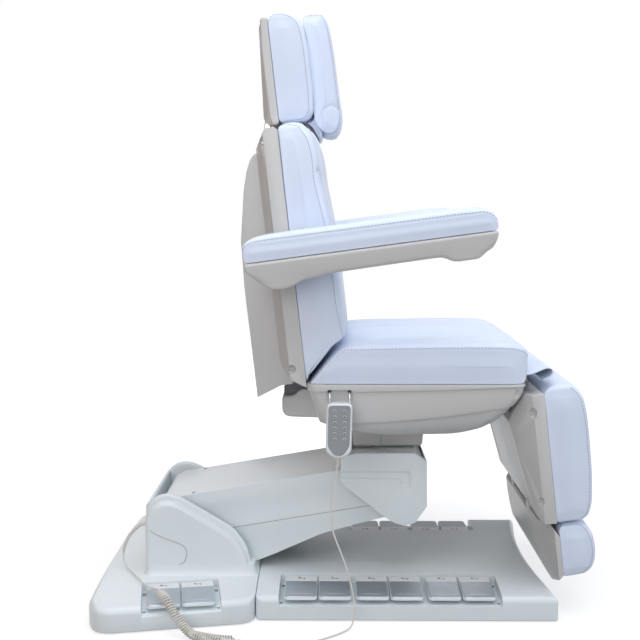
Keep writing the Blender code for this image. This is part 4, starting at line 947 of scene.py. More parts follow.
BACK_CHANNELS = (Channel((60.0, 625.0), (68.0, 68.0)), Channel((60.0, 625.0), (165.0, 165.0)),
                 Channel((60.0, 430.0, 480.0, 510.0, 522.0), (232.0, 234.0, 240.0, 256.0, 276.0), 7.0, 5.0))
SEAT_CHANNELS = tuple(Channel((-30, 428), (y, y)) for y in (71, 176, 252))
LEG_CHANNELS = tuple(Channel((-335, -8), (y, y)) for y in (68, 165, 239))
FOOT_CHANNELS = tuple(Channel((-476, -350), (y, y)) for y in (67, 162, 235))

SEAT_PAD = PadForm("seat_cushion", "seat_pad", "seat", GROUND,
                   [(-83, 580.3), (-79, 588), (-40, 637), (-12, 668), (14, 675), (60, 678), (264, 682),
                    (367, 682), (406, 680), (431, 671), (439, 654), (439, 612), (434.5, 590), (428, 580.3)],
                   (0, 1), 300,
                   ((-79, -49, -10, 370, 402, 424, 434.5, 439), (294, 299, 300, 300, 297, 291, 284, 278)),
                   along=0, corner=16, edge=20, crown=((0,), (6,)), bulge=3, seam=0.22, seam_depth=2.2,
                   channels=SEAT_CHANNELS, seam_from=0.1, tight=((-60, -14, 36), (0.06, 0.1, 1)))
BACK_PAD = PadForm("back_cushion", "back_pad", "back", BACK,
                   [(16.3, 25), (21, 23.5), (60, 61.5), (102, 104.5), (118, 113), (128, 119), (132, 134),
                    (132, 170), (132, 270), (128, 390), (119, 487), (118, 547), (111, 585), (97, 614),
                    (80, 632), (51, 637), (30, 635), (16.3, 628)], (1, 0), 285,
                   ((24, 44, 72, 270, 400, 500, 560, 600, 622, 636),
                    (281, 284, 285, 285, 284, 282, 279, 275, 270, 263)), corner=16, edge=28,
                   crown=((380, 500, 600), (14, 20, 14)), bulge=3, seam=0.3, channels=BACK_CHANNELS,
                   seam_from=-0.3, tight=((60, 112, 150, 200), (0.05, 0.12, 0.55, 1)))
HEAD_PAD = PadForm(
    "head_cushion", "head_pad", "head", BACK,
    [(16.3, 652), (26, 646), (80, 645), (96, 651), (107, 667), (110.5, 713), (110.5, 820), (106, 868),
     (98, 890), (84, 904), (60, 912), (40, 912), (26, 906.5), (18, 896), (16.3, 886)],
    (1, 0), 150, ((645, 655, 672, 730, 820, 872, 900, 912), (143, 147, 149, 150, 149.5, 148, 145, 142)),
    corner=16, edge=20, crown=((700,), (5,)), bulge=3, seam=0.16, seam_from=-0.3, count=150)
LEG_PAD = PadForm("leg_cushion", "leg_pad", "leg", LEG,
                  [(22.3, -18), (40, -5), (60, -1), (82, -1.5), (103, -9), (120.5, -36), (125.5, -78),
                   (126.5, -130), (124.5, -222), (118, -297), (105, -331), (86, -341), (30, -341.5),
                   (22.3, -336)], (1, 0), 285,
                  ((-341, -334, -312, -222, -60, -34, -12, -2), (276, 281, 284, 285, 285, 283, 279, 272)),
                  corner=16, edge=17, crown=((0,), (4,)), bulge=3, seam=0.16, channels=LEG_CHANNELS,
                  seam_from=0.35)
FOOT_PAD = PadForm("foot_cushion", "foot_pad", "foot", LEG,
                   [(26.3, -358), (38, -347), (80, -345.5), (100, -354), (113, -380), (116, -417),
                    (111, -446), (101, -465), (84, -477), (50, -481), (26.3, -478)], (1, 0), 280,
                   ((-480, -474, -457, -420, -383, -358, -347), (270, 275, 279, 280, 279, 275, 268)),
                   corner=16, edge=18, crown=((-400,), (4,)), bulge=3, seam=0.2, channels=FOOT_CHANNELS,
                   seam_from=-0.3, count=150)


def arm_pad(side: Side) -> PadForm:
    """Form of one armrest pad.

    Args:
        side: which armrest.

    Returns:
        The pad's form, 88 mm wide.
    """
    return PadForm(f"arm_cushion_{side.label}", f"arm_pad_{side.label}", f"armrest_{side.label}", ARMREST,
                   [(-70, 30.3), (-70, 66), (-62, 77), (-42, 86), (-6, 90), (200, 90), (440, 89.5),
                    (482, 86), (502, 74), (511, 56), (511, 30.3)], (0, 1), 44,
                   ((-70, -62, -40, 460, 492, 506, 511), (42, 43.4, 44, 44, 43.6, 42.4, 40.5)), along=0,
                   middle=side.value * 349, corner=14, edge=20, crown=((0,), (4,)), bulge=2, seam=0.3,
                   seam_from=0.2, count=200, spacing=4,
                   tight=((-70, -44, -6, 456, 488, 511), (0.35, 0.6, 1, 1, 0.6, 0.35)))


@dataclass
class Pillow(PadForm):
    """Contoured head pillow with a neck roll at its foot, gathered where the gusset meets the roll."""

    roll: tuple[float, float] = (146.0, 640.0)
    roll_size: tuple[float, float] = (27.0, 36.0)

    def shape(self) -> Array:
        """Pad grid with an oval crease round the roll's end and gathers above it.

        The crease is a bell-shaped dip of 3 mm where the oval distance to the roll's middle is one. The
        gathers are a sine along the outline, strongest 60 mm above the roll.

        Returns:
            (rows, count, 3) points in metres.
        """
        points = super().shape()
        local_f, local_u = self.local(points)
        oval = np.hypot((local_f - self.roll[0]) / self.roll_size[0],
                        (local_u - self.roll[1]) / self.roll_size[1])
        side = np.clip((np.abs(points[..., 1]) / MM - 0.8 * self.half) / (0.2 * self.half), 0.0, 1.0)
        crease = 3.0 * np.exp(-((oval - 1.0) / 0.09) ** 2) * np.clip((local_u - 628.0) / 20.0, 0.0, 1.0)
        gather = (1.5 * np.sin(local_u * 2 * math.pi / 9.0) * np.exp(-((local_u - 690.0) / 26.0) ** 2)
                  * np.exp(-((local_f - 158.0) / 13.0) ** 2))
        points[..., 1] -= np.sign(points[..., 1]) * side * (crease + gather) * MM
        return points

    def local(self, points: Array) -> tuple[Array, Array]:
        """Forward and up of points in the pillow's frame, by turning back the lean.

        Args:
            points: (..., 3) in metres.

        Returns:
            The two distances, mm.
        """
        x, z = points[..., 0] / MM - self.place.x, points[..., 2] / MM - self.place.z
        c, s = math.cos(math.radians(self.place.lean)), math.sin(math.radians(self.place.lean))
        return x * c + z * s, z * c - x * s


PILLOW = Pillow("head_pillow_cushion", "head_pillow", "head", BACK,
                [(116, 902), (109, 898), (105, 888), (107.5, 872), (111.2, 846), (111.5, 714), (111.2, 690),
                 (108.5, 665), (109, 645), (114, 632), (122, 619), (132, 611.5), (145, 607.5), (158, 610.5),
                 (167, 619), (173.5, 637), (175.5, 657), (173, 715), (172.5, 772), (170, 836), (165.5, 879),
                 (157, 896), (149, 900)], (1, 0), 124,
                ((603, 612, 626, 648, 700, 846, 884, 900), (114, 119, 123, 124, 124, 123, 120, 116)),
                corner=12, edge=11, crown=((600,), (5,)), bulge=4, seam=0.45, seam_from=-0.6, count=170,
                hollow=5)


@dataclass
class NeckStrap:
    """Vinyl strap that holds the neck roll: it runs from under the head pad down behind the roll."""

    outline: Outline = ((84, 643), (95, 648.5), (103, 658), (107, 646), (112, 630), (120, 616),
                        (117, 606), (110, 600), (105, 612), (97, 630))
    half: float = 108.0

    def build(self) -> None:
        strap = rounded_prism("neck_roll_strap", BACK, self.outline, -self.half, self.half, 4.0, 3.0, 90)
        dress(strap, VINYL, "head", "vinyl")


# Studio


@dataclass
class Studio:
    """Camera at the photograph's place, soft lamps and a pale floor."""

    camera_at: tuple[float, float, float] = (-0.035, -2.650, 0.992)
    pitch: float = 6.259
    yaw: float = 0.571
    lens: float = 56.42

    def build(self) -> None:
        """Make the camera, the lamps, the world and the floor."""
        scene = bpy.context.scene
        scene.view_settings.view_transform = "Standard"
        camera = bpy.data.objects.new("camera", bpy.data.cameras.new("camera"))
        camera.data.lens, camera.data.sensor_width = self.lens, 36.0
        camera.location = self.camera_at
        camera.rotation_euler = (math.radians(90.0 - self.pitch), 0.0, math.radians(self.yaw))
        scene.collection.objects.link(camera)
        scene.camera = camera
        self.lamp("lamp_above", (0.1, -0.7, 3.6), (0.0, 0.0, 0.6), 3.4, 84.0, "#F3F7FF")
        self.lamp("lamp_front", (-1.2, -3.5, 1.9), (0.0, 0.0, 0.6), 2.4, 40.0, "#FFFFFF")
        self.lamp("lamp_foot", (3.0, -1.2, 1.8), (0.2, 0.0, 0.6), 2.0, 20.0, "#FFFFFF")
        self.lamp("lamp_rear", (-2.6, 2.0, 2.2), (0.0, 0.0, 0.7), 2.2, 14.0, "#FFF4EA")
        warm = self.card("warm_card", (-1.9, 0.0, 1.3), (0.0, 2.2, 1.3), "#8E6A50")
        warm.visible_shadow = False
        dark = self.card("dark_card", (0.25, 1.7, 0.36), (0.75, 0.0, 0.26), "#2A2A2C")
        dark.visible_shadow = dark.visible_diffuse = False
        self.world()
        self.floor()

    def lamp(self, name: str, at: Point, aim: Point, size: float, power: float, colour: str) -> None:
        """Square soft lamp turned to a point.

        Args:
            name: name of the lamp.
            at: its place, metres.
            aim: point it looks at, metres.
            size: length of its side, metres.
            power: watts.
            colour: sRGB hex colour.
        """
        light = bpy.data.lights.new(name, "AREA")
        light.shape, light.size, light.energy, light.color = "SQUARE", size, power, linear(colour)[:3]
        lamp = bpy.data.objects.new(name, light)
        way = np.asarray(aim) - np.asarray(at)
        lamp.location = at
        lamp.rotation_euler = (
            math.acos(-way[2] / np.linalg.norm(way)), 0.0, math.atan2(way[1], way[0]) - math.pi / 2)
        bpy.context.scene.collection.objects.link(lamp)

    def card(self, name: str, middle: Point, reach: Point, colour: str) -> Piece:
        """Matt upright card beside the bed that the camera does not see.

        Args:
            name: name of the card.
            middle: its middle, metres.
            reach: half its size on X, Y and Z, metres, with one of X and Y zero.
            colour: sRGB hex colour.

        Returns:
            The card.
        """
        run, rise = np.meshgrid((-1.0, 1.0), (-1.0, 1.0), indexing="ij")
        points = np.asarray(middle) + np.stack([run * reach[0], run * reach[1], rise * reach[2]], -1)
        piece = surface(name, points, caps=False, wrap=False)
        material = bare_material(name)
        tree = material.node_tree
        matt = add_node(tree, "ShaderNodeBsdfDiffuse", inputs={0: linear(colour)})
        add_node(tree, "ShaderNodeOutputMaterial", inputs={0: matt.outputs[0]})
        piece.data.materials.append(material)
        piece.visible_camera = False
        return piece

    def seen(self, tree: bpy.types.NodeTree) -> bpy.types.NodeSocket:
        """One for rays from the camera, a mirror or glass, and zero for the rest.

        Args:
            tree: node tree that takes the nodes.

        Returns:
            The socket that gives the value.
        """
        path = add_node(tree, "ShaderNodeLightPath")
        first = add_node(tree, "ShaderNodeMath", {"operation": "MAXIMUM"},
                         {0: path.outputs["Is Camera Ray"], 1: path.outputs["Is Glossy Ray"]})
        return add_node(tree, "ShaderNodeMath", {"operation": "MAXIMUM"},
                        {0: first.outputs[0], 1: path.outputs["Is Transmission Ray"]}).outputs[0]

    def world(self) -> None:
        """White where it is seen, and a plain pale light elsewhere."""
        world = bpy.data.worlds.new("studio")
        bpy.context.scene.world = world
        world.use_nodes = True
        tree = world.node_tree
        tree.nodes.clear()
        light = add_node(tree, "ShaderNodeBackground", inputs={0: linear("#E9EEF6"), 1: 0.42})
        white = add_node(tree, "ShaderNodeBackground", inputs={0: linear("#FFFFFF"), 1: 1.0})
        mix = add_node(tree, "ShaderNodeMixShader",
                       inputs={0: self.seen(tree), 1: light.outputs[0], 2: white.outputs[0]})
        add_node(tree, "ShaderNodeOutputWorld", inputs={0: mix.outputs[0]})

    def floor(self) -> None:
        """Pale floor, a square 12 m wide, that adds its own white where it is seen and keeps the shadow."""
        grid = np.linspace(-6.0, 6.0, 5)
        x, y = np.meshgrid(grid, grid, indexing="ij")
        piece = surface("studio_floor", np.stack([x, y, np.full_like(x, -0.0006)], -1), caps=False,
                        wrap=False)
        material = bare_material("studio_floor")
        tree = material.node_tree
        matt = add_node(tree, "ShaderNodeBsdfDiffuse", inputs={0: linear("#ABABAB")})
        place = add_node(tree, "ShaderNodeTexCoord").outputs["Object"]
        away = add_node(tree, "ShaderNodeVectorMath", {"operation": "LENGTH"}, {0: place}).outputs["Value"]
        level = add_node(tree, "ShaderNodeMapRange",
                         inputs={0: away, 1: 0.7, 2: 2.0, 3: 0.68, 4: 1.0}).outputs[0]
        glow = add_node(tree, "ShaderNodeEmission", inputs={0: linear("#FFFFFF"), 1: level})
        none = add_node(tree, "ShaderNodeEmission", inputs={0: linear("#000000"), 1: 0.0})
        lit = add_node(tree, "ShaderNodeMixShader",
                       inputs={0: self.seen(tree), 1: none.outputs[0], 2: glow.outputs[0]})
        both = add_node(tree, "ShaderNodeAddShader", inputs={0: matt.outputs[0], 1: lit.outputs[0]})
        add_node(tree, "ShaderNodeOutputMaterial", inputs={0: both.outputs[0]})
        piece.data.materials.append(material)


# Handset cord


@dataclass
class HandsetCord:
    """Curly handset cord: down from the handset, along the floor and up to the plug on the tower."""

    radius: float = 2.1
    coil_radius: float = 9.3
    pitch: float = 6.4
    coil_route: Route = (
        (-254, -449.6, 13), (-290, -446, 13), (-330, -432, 13), (-356, -418, 14), (-378, -404, 28),
        (-400, -392, 52), (-418, -374, 74), (-432, -352, 79), (-444, -334, 80))
    drop_route: Route = ((-16, -331, 410.7), (-17, -331, 398), (-20, -332, 370), (-30, -334, 310),
                         (-31, -336, 270), (-26, -338, 230), (-10, -340, 186), (4, -342, 148),
                         (16, -344, 103), (24, -346, 60), (24, -350, 30), (16, -360, 9), (2, -374, 3),
                         (-26, -400, 2.6), (-70, -430, 2.6), (-120, -446, 2.6), (-180, -452, 4),
                         (-226, -450.5, 10))
    tail_route: Route = ((-482, -283, 76), (-509, -236, 76), (-540, -184, 77), (-558, -162, 84),
                         (-566, -152, 100), (-566, -150, 114))
    plug_route: Route = ((-566, -150, 114.3), (-563, -150, 132), (-550, -150, 160), (-530, -150, 182),
                         (-515.3, -150, 191.4), (-503.3, -150, 192))

    def helix(self) -> Array:
        """Curl round the coil's route: centre + r(cos a u + sin a v), a growing by a turn each pitch.

        The curl opens from the route's line at its start and closes to it at its end over one turn.

        Returns:
            (m, 3) points in mm, 18 to a turn.
        """
        path = smooth_line(self.coil_route, self.pitch / 18.0)
        run = np.gradient(path, axis=0)
        run /= np.linalg.norm(run, axis=1, keepdims=True)
        side = np.cross(run, (0.0, 0.0, 1.0))
        side /= np.linalg.norm(side, axis=1, keepdims=True)
        over = np.cross(side, run)
        turn = (np.arange(len(path)) / 18.0 * 2 * math.pi)[:, None]
        ends = np.minimum(np.arange(len(path)), np.arange(len(path))[::-1]) / 18.0
        open_out = (self.coil_radius * np.clip(ends / 1.2, 0.0, 1.0) ** 0.5)[:, None]
        return path + open_out * (np.cos(turn) * side + np.sin(turn) * over)

    def piece(self, name: str, line: Array, lay: str, body: str | None, *nodes: str) -> Piece:
        """Make and dress one stretch of the cord.

        Args:
            name: name of the piece.
            line: (m, 3) middle line, mm.
            lay: not used.
            body: body it rides on, or None for none.
            nodes: frame nodes it replaces.

        Returns:
            The new piece.
        """
        made = dress(tube(name, line, self.radius, 12), SHEATH, body, "cord", *nodes)
        return made

    def build(self) -> None:
        """Make the hanging stretches, one for each joint, left on no body, then the floor run, curls and
        tail.
        """
        drop = smooth_line(self.drop_route, 6.0)
        cuts = [0] + [int(np.argmin(np.abs(drop[:, 2] - z))) for z in (272.0, 196.0, 128.0)]
        cuts += [int(np.argmin(np.linalg.norm(drop - self.drop_route[15], axis=1)))]
        pairs = (("handset", "seat"), ("seat", "yoke"), ("yoke", "lift_arm"), ("lift_arm", "base"))
        for number, (first, second) in enumerate(pairs):
            line = drop[cuts[number]:cuts[number + 1] + 1]
            made = self.piece(
                f"cord_hang_{number + 1}", line, "hanging", None, *(["cord_drop"] if number == 0 else []))
            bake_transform(made)
        curl = self.helix()
        lead = smooth_line([*drop[cuts[-1]::6][:-1], drop[-1], curl[0] + (14.0, -0.6, -0.3), curl[0]], 6.0)
        self.piece("cord_floor", lead, "loose", "base")
        self.piece("cord_curls", curl, "coiled", "base", "cord_coil")
        tail = smooth_line(
            [curl[-1], curl[-1] + 8.0 * (curl[-1] - curl[-6]) / np.linalg.norm(curl[-1] - curl[-6]),
             *self.tail_route], 5.0)
        self.piece("cord_end", tail, "loose", "base", "cord_tail")
        relief = smooth_line(self.plug_route, 3.0)
        share = np.linspace(0.0, 1.0, len(relief))
        ribs = 0.35 * np.sin(share * 2 * math.pi * 9.0) * (share > 0.25) * (share < 0.8)
        size = np.interp(share, (0.0, 0.06, 0.25, 0.8, 0.86, 1.0), (2.9, 3.4, 3.8, 4.6, 5.0, 5.0)) + ribs
        dress(tube("cord_plug_relief", relief, size, 16), SHEATH, "base", "cord", "cord_plug")


# Frame nodes that stay


@dataclass
class Metalwork:
    """Nodes whose own shape is right: they stay and take a better finish."""

    coated: tuple[str, ...] = (
        "base_chassis", "lift_pin", "arm_beam", "yoke_pin", "yoke_bracket", "tilt_pin", "seat_frame",
        "recline_pin", "leg_pin", "back_frame")
    plated: tuple[str, ...] = ("head_bracket",)
    motors: tuple[str, ...] = ("lift_actuator", "back_actuator", "leg_actuator")

    def build(self, nodes: dict[str, Piece]) -> None:
        """Put each node's finish in its material slots.

        Args:
            nodes: the frame's nodes by name.
        """
        for names, finish in ((self.coated, POWDER_COAT), (self.plated, CHROME), (self.motors, NYLON)):
            for name in names:
                nodes[name].data.materials.clear()
                nodes[name].data.materials.append(finish.material())


# Base and pedals


def slab(name: str, plan: Points, corner: float, seam: float, ends: tuple[float, float],
         roll: float = 17.0) -> Piece:
    """Low moulding: a rounded plan, upright sides, rolled edges and a crowned deck.

    The deck lies at 72 mm on the middle line and falls by 10 mm (y/304)^3 to each side. The roll is full
    on the free edges and 3 mm at the seam. Inside the roll, rings draw in to the middle line.

    Args:
        name: name of the piece.
        plan: corner points (x, y), mm.
        corner: rounding of the plan's corners, mm.
        seam: X of the seam with the next moulding, mm.
        ends: X of the middle line's ends, mm.
        roll: radius of the rolled edge, mm.

    Returns:
        The new piece.
    """
    loop = resample(fillet(plan, corner, 12), 420)
    normal = eased(inward(loop), 3.0, loop)
    radius = eased((3.0 + (roll - 3.0) * np.clip(np.abs(loop[:, 0] - seam) / 12.0, 0.0, 1.0))[:, None], 5.0,
                   loop)

    def deck(spot: Array) -> Array:
        """Height of the deck.

        Args:
            spot: (..., 2) points in plan, mm.

        Returns:
            (...) heights, mm.
        """
        return 72.0 - 10.0 * np.clip(np.abs(spot[..., 1]) / 304.0, 0.0, 1.0) ** 3

    turn = np.linspace(0.0, math.pi / 2, 9)[:, None, None]
    rolled = loop[None] + radius[None] * (1 - np.cos(turn)) * normal[None]
    high = deck(rolled[-1])[None] - (radius[None] * (1 - np.sin(turn)))[..., 0]
    foot = np.stack([loop + 3.0 * normal, loop])
    low = np.stack([np.full(len(loop), 2.5), np.full(len(loop), 5.5)])
    middle = np.stack([np.clip(rolled[-1][:, 0], *ends), np.zeros(len(loop))], -1)
    share = np.linspace(0.0, 0.985, 30)[1:, None, None]
    inner = rolled[-1][None] + share * (middle - rolled[-1])[None]
    rings = np.concatenate([foot, rolled, inner])
    height = np.concatenate([low, high, deck(inner)])
    return surface(name, np.concatenate([rings, height[..., None]], 2) * MM, smooth=40.0)


@dataclass
class Base:
    """Moulded base: front deck, flared rear shell, tower cheeks, pedal trays, parting lines and screws.

    margin is the width of a tray's floor beside its pedals.
    """

    margin: float = 13.0
    front_plan: Outline = (
        (-214.4, -313), (521, -313), (509, -240), (497, -160), (490, -80), (488, 0), (490, 80), (497, 160),
        (509, 240), (521, 313), (-214.4, 313))
    rear_plan: Outline = ((-215.6, -331), (-558, -397), (-592, -386), (-617, -332), (-617, 332),
                          (-592, 386), (-558, 397), (-215.6, 331))
    rim: Outline = ((-503, 20), (-503, 238), (-490, 259), (-467, 273), (-441, 276), (-411, 266),
                    (-279, 186), (-246, 140), (-216, 20))
    panel: Outline = ((-503, 20), (-503, 222), (-490, 243), (-467, 257), (-441, 260), (-411, 250),
                      (-284, 173), (-252, 130), (-217, 20))
    flare: Table = ((69, 197, 217, 510, 24), (72.5, 194.5, 219.5, 507.5, 21.5),
                    (78, 192.4, 222.5, 505.4, 19), (86, 190.9, 225, 503.9, 17),
                    (97, 190.2, 226.5, 503.2, 16))
    seam: Outline = ((-489, 186), (-477, 177), (-446, 163), (-414, 151), (-402, 142), (-397, 128),
                     (-400, 112), (-407, 101), (-418, 98))

    def build(self) -> None:
        """Make and dress the two decks with their trays, then the tower."""
        opening = [(-491, -5), (-250, -5), (-250, 300), (-491, 300)]
        way = [rounded_prism(f"arm_way_{part}", GROUND, opening, -158.0, 158.0, 4.0, 2.0, 60)
               for part in ("deck", "flare")]
        front, rear = self.trays()
        dress(carved(slab("base_front_moulding", self.front_plan, 13.0, -214.4, (-40.0, 430.0)), front, 2.0,
                     2, 42.0), MOULDING, "base", "moulding", "base_front_shell")
        dress(carved(slab("base_rear_moulding", self.rear_plan, 40.0, -215.6, (-440.0, -380.0)),
                     [*rear, way[0]], 2.0, 2, 42.0), MOULDING, "base", "moulding", "base_rear_shell")
        foot = rounded_loft("tower_flare", Placement(0.0, 0.0, 90.0), self.flare, 12)
        dress(carved(foot, [way[1]]), MOULDING, "base", "moulding")
        wall = [(-503, 60), (-503, 243), (-500, 250), (-495, 252), (-491.2, 248), (-491.2, 60)]
        dress(rounded_prism("tower_rear_wall", GROUND, wall, -168.0, 168.0, 4.0, 2.0), MOULDING, "base",
              "moulding")
        for side in Side:
            sign, label = side.value, side.label
            rim = rounded_prism(
                f"tower_rim_{label}", GROUND, self.rim, *side.span(158.5, 174.0), 16.0, 7.0, 160)
            dress(rim, MOULDING, "base", "moulding")
            panel = rounded_prism(
                f"tower_panel_{label}", GROUND, self.panel, *side.span(160.0, 190.0), 20.0, 12.0, 160)
            dress(panel, MOULDING, "base", "moulding")
            parting_line(f"tower_parting_line_{label}", [(x, sign * 190.1, z) for x, z in self.seam], 6.0,
                         "base")

    def trays(self) -> tuple[list[Piece], list[Piece]]:
        """Cutters of the pedals' trays, and the screws on the trays' floors.

        Returns:
            The cutters of the front deck and those of the rear shell.
        """
        sites = {name: (at, turn) for name, at, turn in Pedals().sites()}
        cutters: tuple[list[Piece], list[Piece]] = ([], [])
        for side in Side:
            for group, (place, first, last) in enumerate((("front", 1, 6), ("rear", 1, 2))):
                start, turn = sites[f"pedal_{place}_{side.label}_{first}"]
                stop = sites[f"pedal_{place}_{side.label}_{last}"][0]
                row = Pedals(width=float(np.linalg.norm(stop - start)) + 80.0 + 2 * self.margin)
                at = (start + stop) / 2
                name = f"tray_{place}_{side.label}"
                cutters[group].append(
                    row.plate(name, at, turn, -7.0, 150.0, (10.0, 1.0), 0.5, (-60.0, 20.0), 0.0))
                for number, (px, py) in enumerate(((-1, 16.0), (1, 16.0), (-1, 112.0), (1, 112.0))):
                    x = px * (row.width - self.margin) / 2
                    floor = row.top - 20.0 - row.drop * max(0.0, (py - row.strip) / (row.depth - row.strip))
                    spot = row.placed(at, turn, np.array(x), np.array(py), np.array(floor)) / MM
                    head = turned(
                        f"{name}_screw_{number}", spot, (0.0, 0.0, 1.0),
                        [(-1.0, 4.0), (1.2, 4.0), (1.8, 3.2), (1.8, 1.3), (0.8, 1.0)])
                    dress(head, SCREW, "base", "frame_steel")
        return cutters


@dataclass
class Pedals:
    """Sixteen foot pedals: metal-look plate, white label strip and small generic marks."""

    width: float = 80.0
    strip: float = 33.0
    depth: float = 130.0
    top: float = 66.0
    drop: float = 9.0
    thick: float = 8.0
    corner: float = 10.0
    reach: float = 118.0
    flare_run: float = 337.0
    flare_rise: float = 56.0
    pitch: float = 84.0
    pair_gap: float = 8.0

    def sites(self) -> list[tuple[str, Array, float]]:
        """Name, inner middle and turn of every pedal, as the frame has them.

        Returns:
            (name, (x, y) in mm, turn in degrees) for each pedal.
        """
        found = []
        flare = math.degrees(math.atan2(self.flare_rise, self.flare_run))
        f = math.radians(flare)
        for side in Side:
            sign = side.value
            turn = 180.0 if sign < 0 else 0.0
            outward = np.array((math.sin(f), sign * math.cos(f)))
            along = np.array((math.cos(f), -sign * math.sin(f)))
            edge = np.array((-387.0, sign * (331.0 + 172.0 / self.flare_run * self.flare_rise)))
            for index, shift in ((1, -self.pitch / 2), (2, self.pitch / 2)):
                at = edge - outward * self.depth + along * shift
                found.append((f"pedal_rear_{side.label}_{index}", at, turn - sign * flare))
            for index in range(6):
                x = -106.0 + index * self.pitch + (index // 2) * self.pair_gap
                found.append((f"pedal_front_{side.label}_{index + 1}", np.array((x, sign * 183.0)), turn))
        return found

    def plate(self, name: str, at: Array, turn: float, y0: float, y1: float, corners: Point, edge: float,
              level: tuple[float, float] = (0.0, 3.2), narrow: float = 1.4) -> Piece:
        """Plate on a pedal: an outline with rounded corners, rolled over at its upper rim.

        The rim is a quarter circle, and the top falls by the drop over the metal part's length.

        Args:
            name: name of the piece.
            at: inner middle of the pedal, mm.
            turn: turn of the pedal about Z, degrees.
            y0: inner end of the plate, mm from the pedal's inner edge.
            y1: outer end, mm.
            corners: rounding at the inner and the outer corners, mm.
            edge: radius of the rim, mm.
            level: how far its top and its underside lie below the pedal's top, mm.
            narrow: how far its sides lie inside the pedal's, mm.

        Returns:
            The new piece.
        """
        w = self.width / 2 - narrow
        a = np.linspace(0.0, math.pi / 2, 6)
        ends = ((1, 1, corners[1], 0.0), (-1, 1, corners[1], 0.5), (-1, -1, corners[0], 1.0),
                (1, -1, corners[0], 1.5))
        loop = np.concatenate(
            [np.stack([sx * (w - r) + r * np.cos(a + start * math.pi),
                       (y1 - r if sy > 0 else y0 + r) + r * np.sin(a + start * math.pi)], -1)
             for sx, sy, r, start in ends])
        centre = np.array((0.0, (y0 + y1) / 2))
        reach = np.array((w, (y1 - y0) / 2))
        t = np.linspace(0.0, math.pi / 2, 5)
        inset = np.concatenate([[0.0], edge * (1 - np.cos(t)), [edge + 1.0]])
        lower = np.concatenate([[-level[1]], edge * (np.sin(t) - 1) - level[0], [-level[0]]])
        rings = centre + (loop - centre)[None] * (1 - inset[:, None, None] / reach)
        height = self.top + lower[:, None] - self.drop * np.clip(
            (rings[..., 1] - self.strip) / (self.depth - self.strip), 0.0, 1.0)
        return surface(name, self.placed(at, turn, rings[..., 0], rings[..., 1], height), smooth=35.0)

    def placed(self, at: Array, turn: float, px: Array, py: Array, z: Array) -> Array:
        """Points of a pedal's own plan turned about Z and moved to the pedal.

        Args:
            at: inner middle of the pedal, mm.
            turn: turn of the pedal about Z, degrees.
            px: distances across the pedal, mm.
            py: distances from its inner edge, mm.
            z: heights, mm.

        Returns:
            (..., 3) points in metres.
        """
        c, s = math.cos(math.radians(turn)), math.sin(math.radians(turn))
        return np.stack([at[0] + px * c - py * s, at[1] + px * s + py * c, np.broadcast_to(z, px.shape)],
                        -1) * MM

    def marks(self, name: str, at: Array, turn: float, bars: Points) -> Piece:
        """Flat marks on a pedal's top.

        Args:
            name: name of the piece.
            at: inner middle of the pedal, mm.
            turn: turn of the pedal about Z, degrees.
            bars: (x0, x1, y0, y1) of each mark in the pedal's plan, mm.

        Returns:
            All marks as one piece.
        """
        px = np.array([[b[0], b[1], b[1], b[0]] for b in bars])
        py = np.array([[b[2], b[2], b[3], b[3]] for b in bars])
        z = self.top - self.drop * np.clip((py - self.strip) / (self.depth - self.strip), 0.0, 1.0)
        low, high = (self.placed(at, turn, px, py, z + lift) for lift in (-0.3, 0.12))
        points = np.concatenate([low, high], 1).reshape(-1, 3)
        sides = np.array([(0, 1, 2, 3), (4, 5, 6, 7), (0, 1, 5, 4), (1, 2, 6, 5), (2, 3, 7, 6),
                          (3, 0, 4, 7)])
        faces = (np.arange(len(bars))[:, None, None] * 8 + sides).reshape(-1, 4)
        return from_faces(name, points, faces.tolist(), 30.0)

    def build(self) -> None:
        """Make and dress every pedal: body, metal plate with its line, label strip and a generic mark."""
        line = [(-21.0, 23.0, 102.0, 103.6), (-27.0, -24.6, 101.6, 104.0), (27.0, 29.4, 101.6, 104.0)]
        for number, (name, at, turn) in enumerate(self.sites()):
            body = self.plate(f"{name}_body", at, turn, 0.0, self.reach + 2.0, (3.0, self.corner), 1.2,
                              (2.8, self.thick), 0.0)
            dress(body, MOULDING, name, "pedal_plate", name)
            metal = self.plate(f"{name}_metal", at, turn, self.strip + 0.4, self.reach,
                               (1.5, self.corner - 1.0), 1.6)
            dress(metal, PEDAL_METAL, name, "pedal_plate")
            label = self.plate(f"{name}_label", at, turn, 0.8, self.strip - 0.4, (3.0, 1.5), 1.2)
            dress(label, LABEL_FILM, name, "pedal_plate")
            dress(self.marks(f"{name}_line", at, turn, line), LABEL_FILM, name, "pedal_plate")
            sign = [(-9.0, 6.0, 15.6, 17.4), (2.0 + 2.0 * (number % 2), 8.0, 10.4, 15.6),
                    (-9.0, -7.0, 17.4, 21.0 + number % 3)]
            dress(self.marks(f"{name}_mark", at, turn, sign), INK_AND_PAINTED_SHADOW, name, "pedal_plate")


# Lift arm and yoke


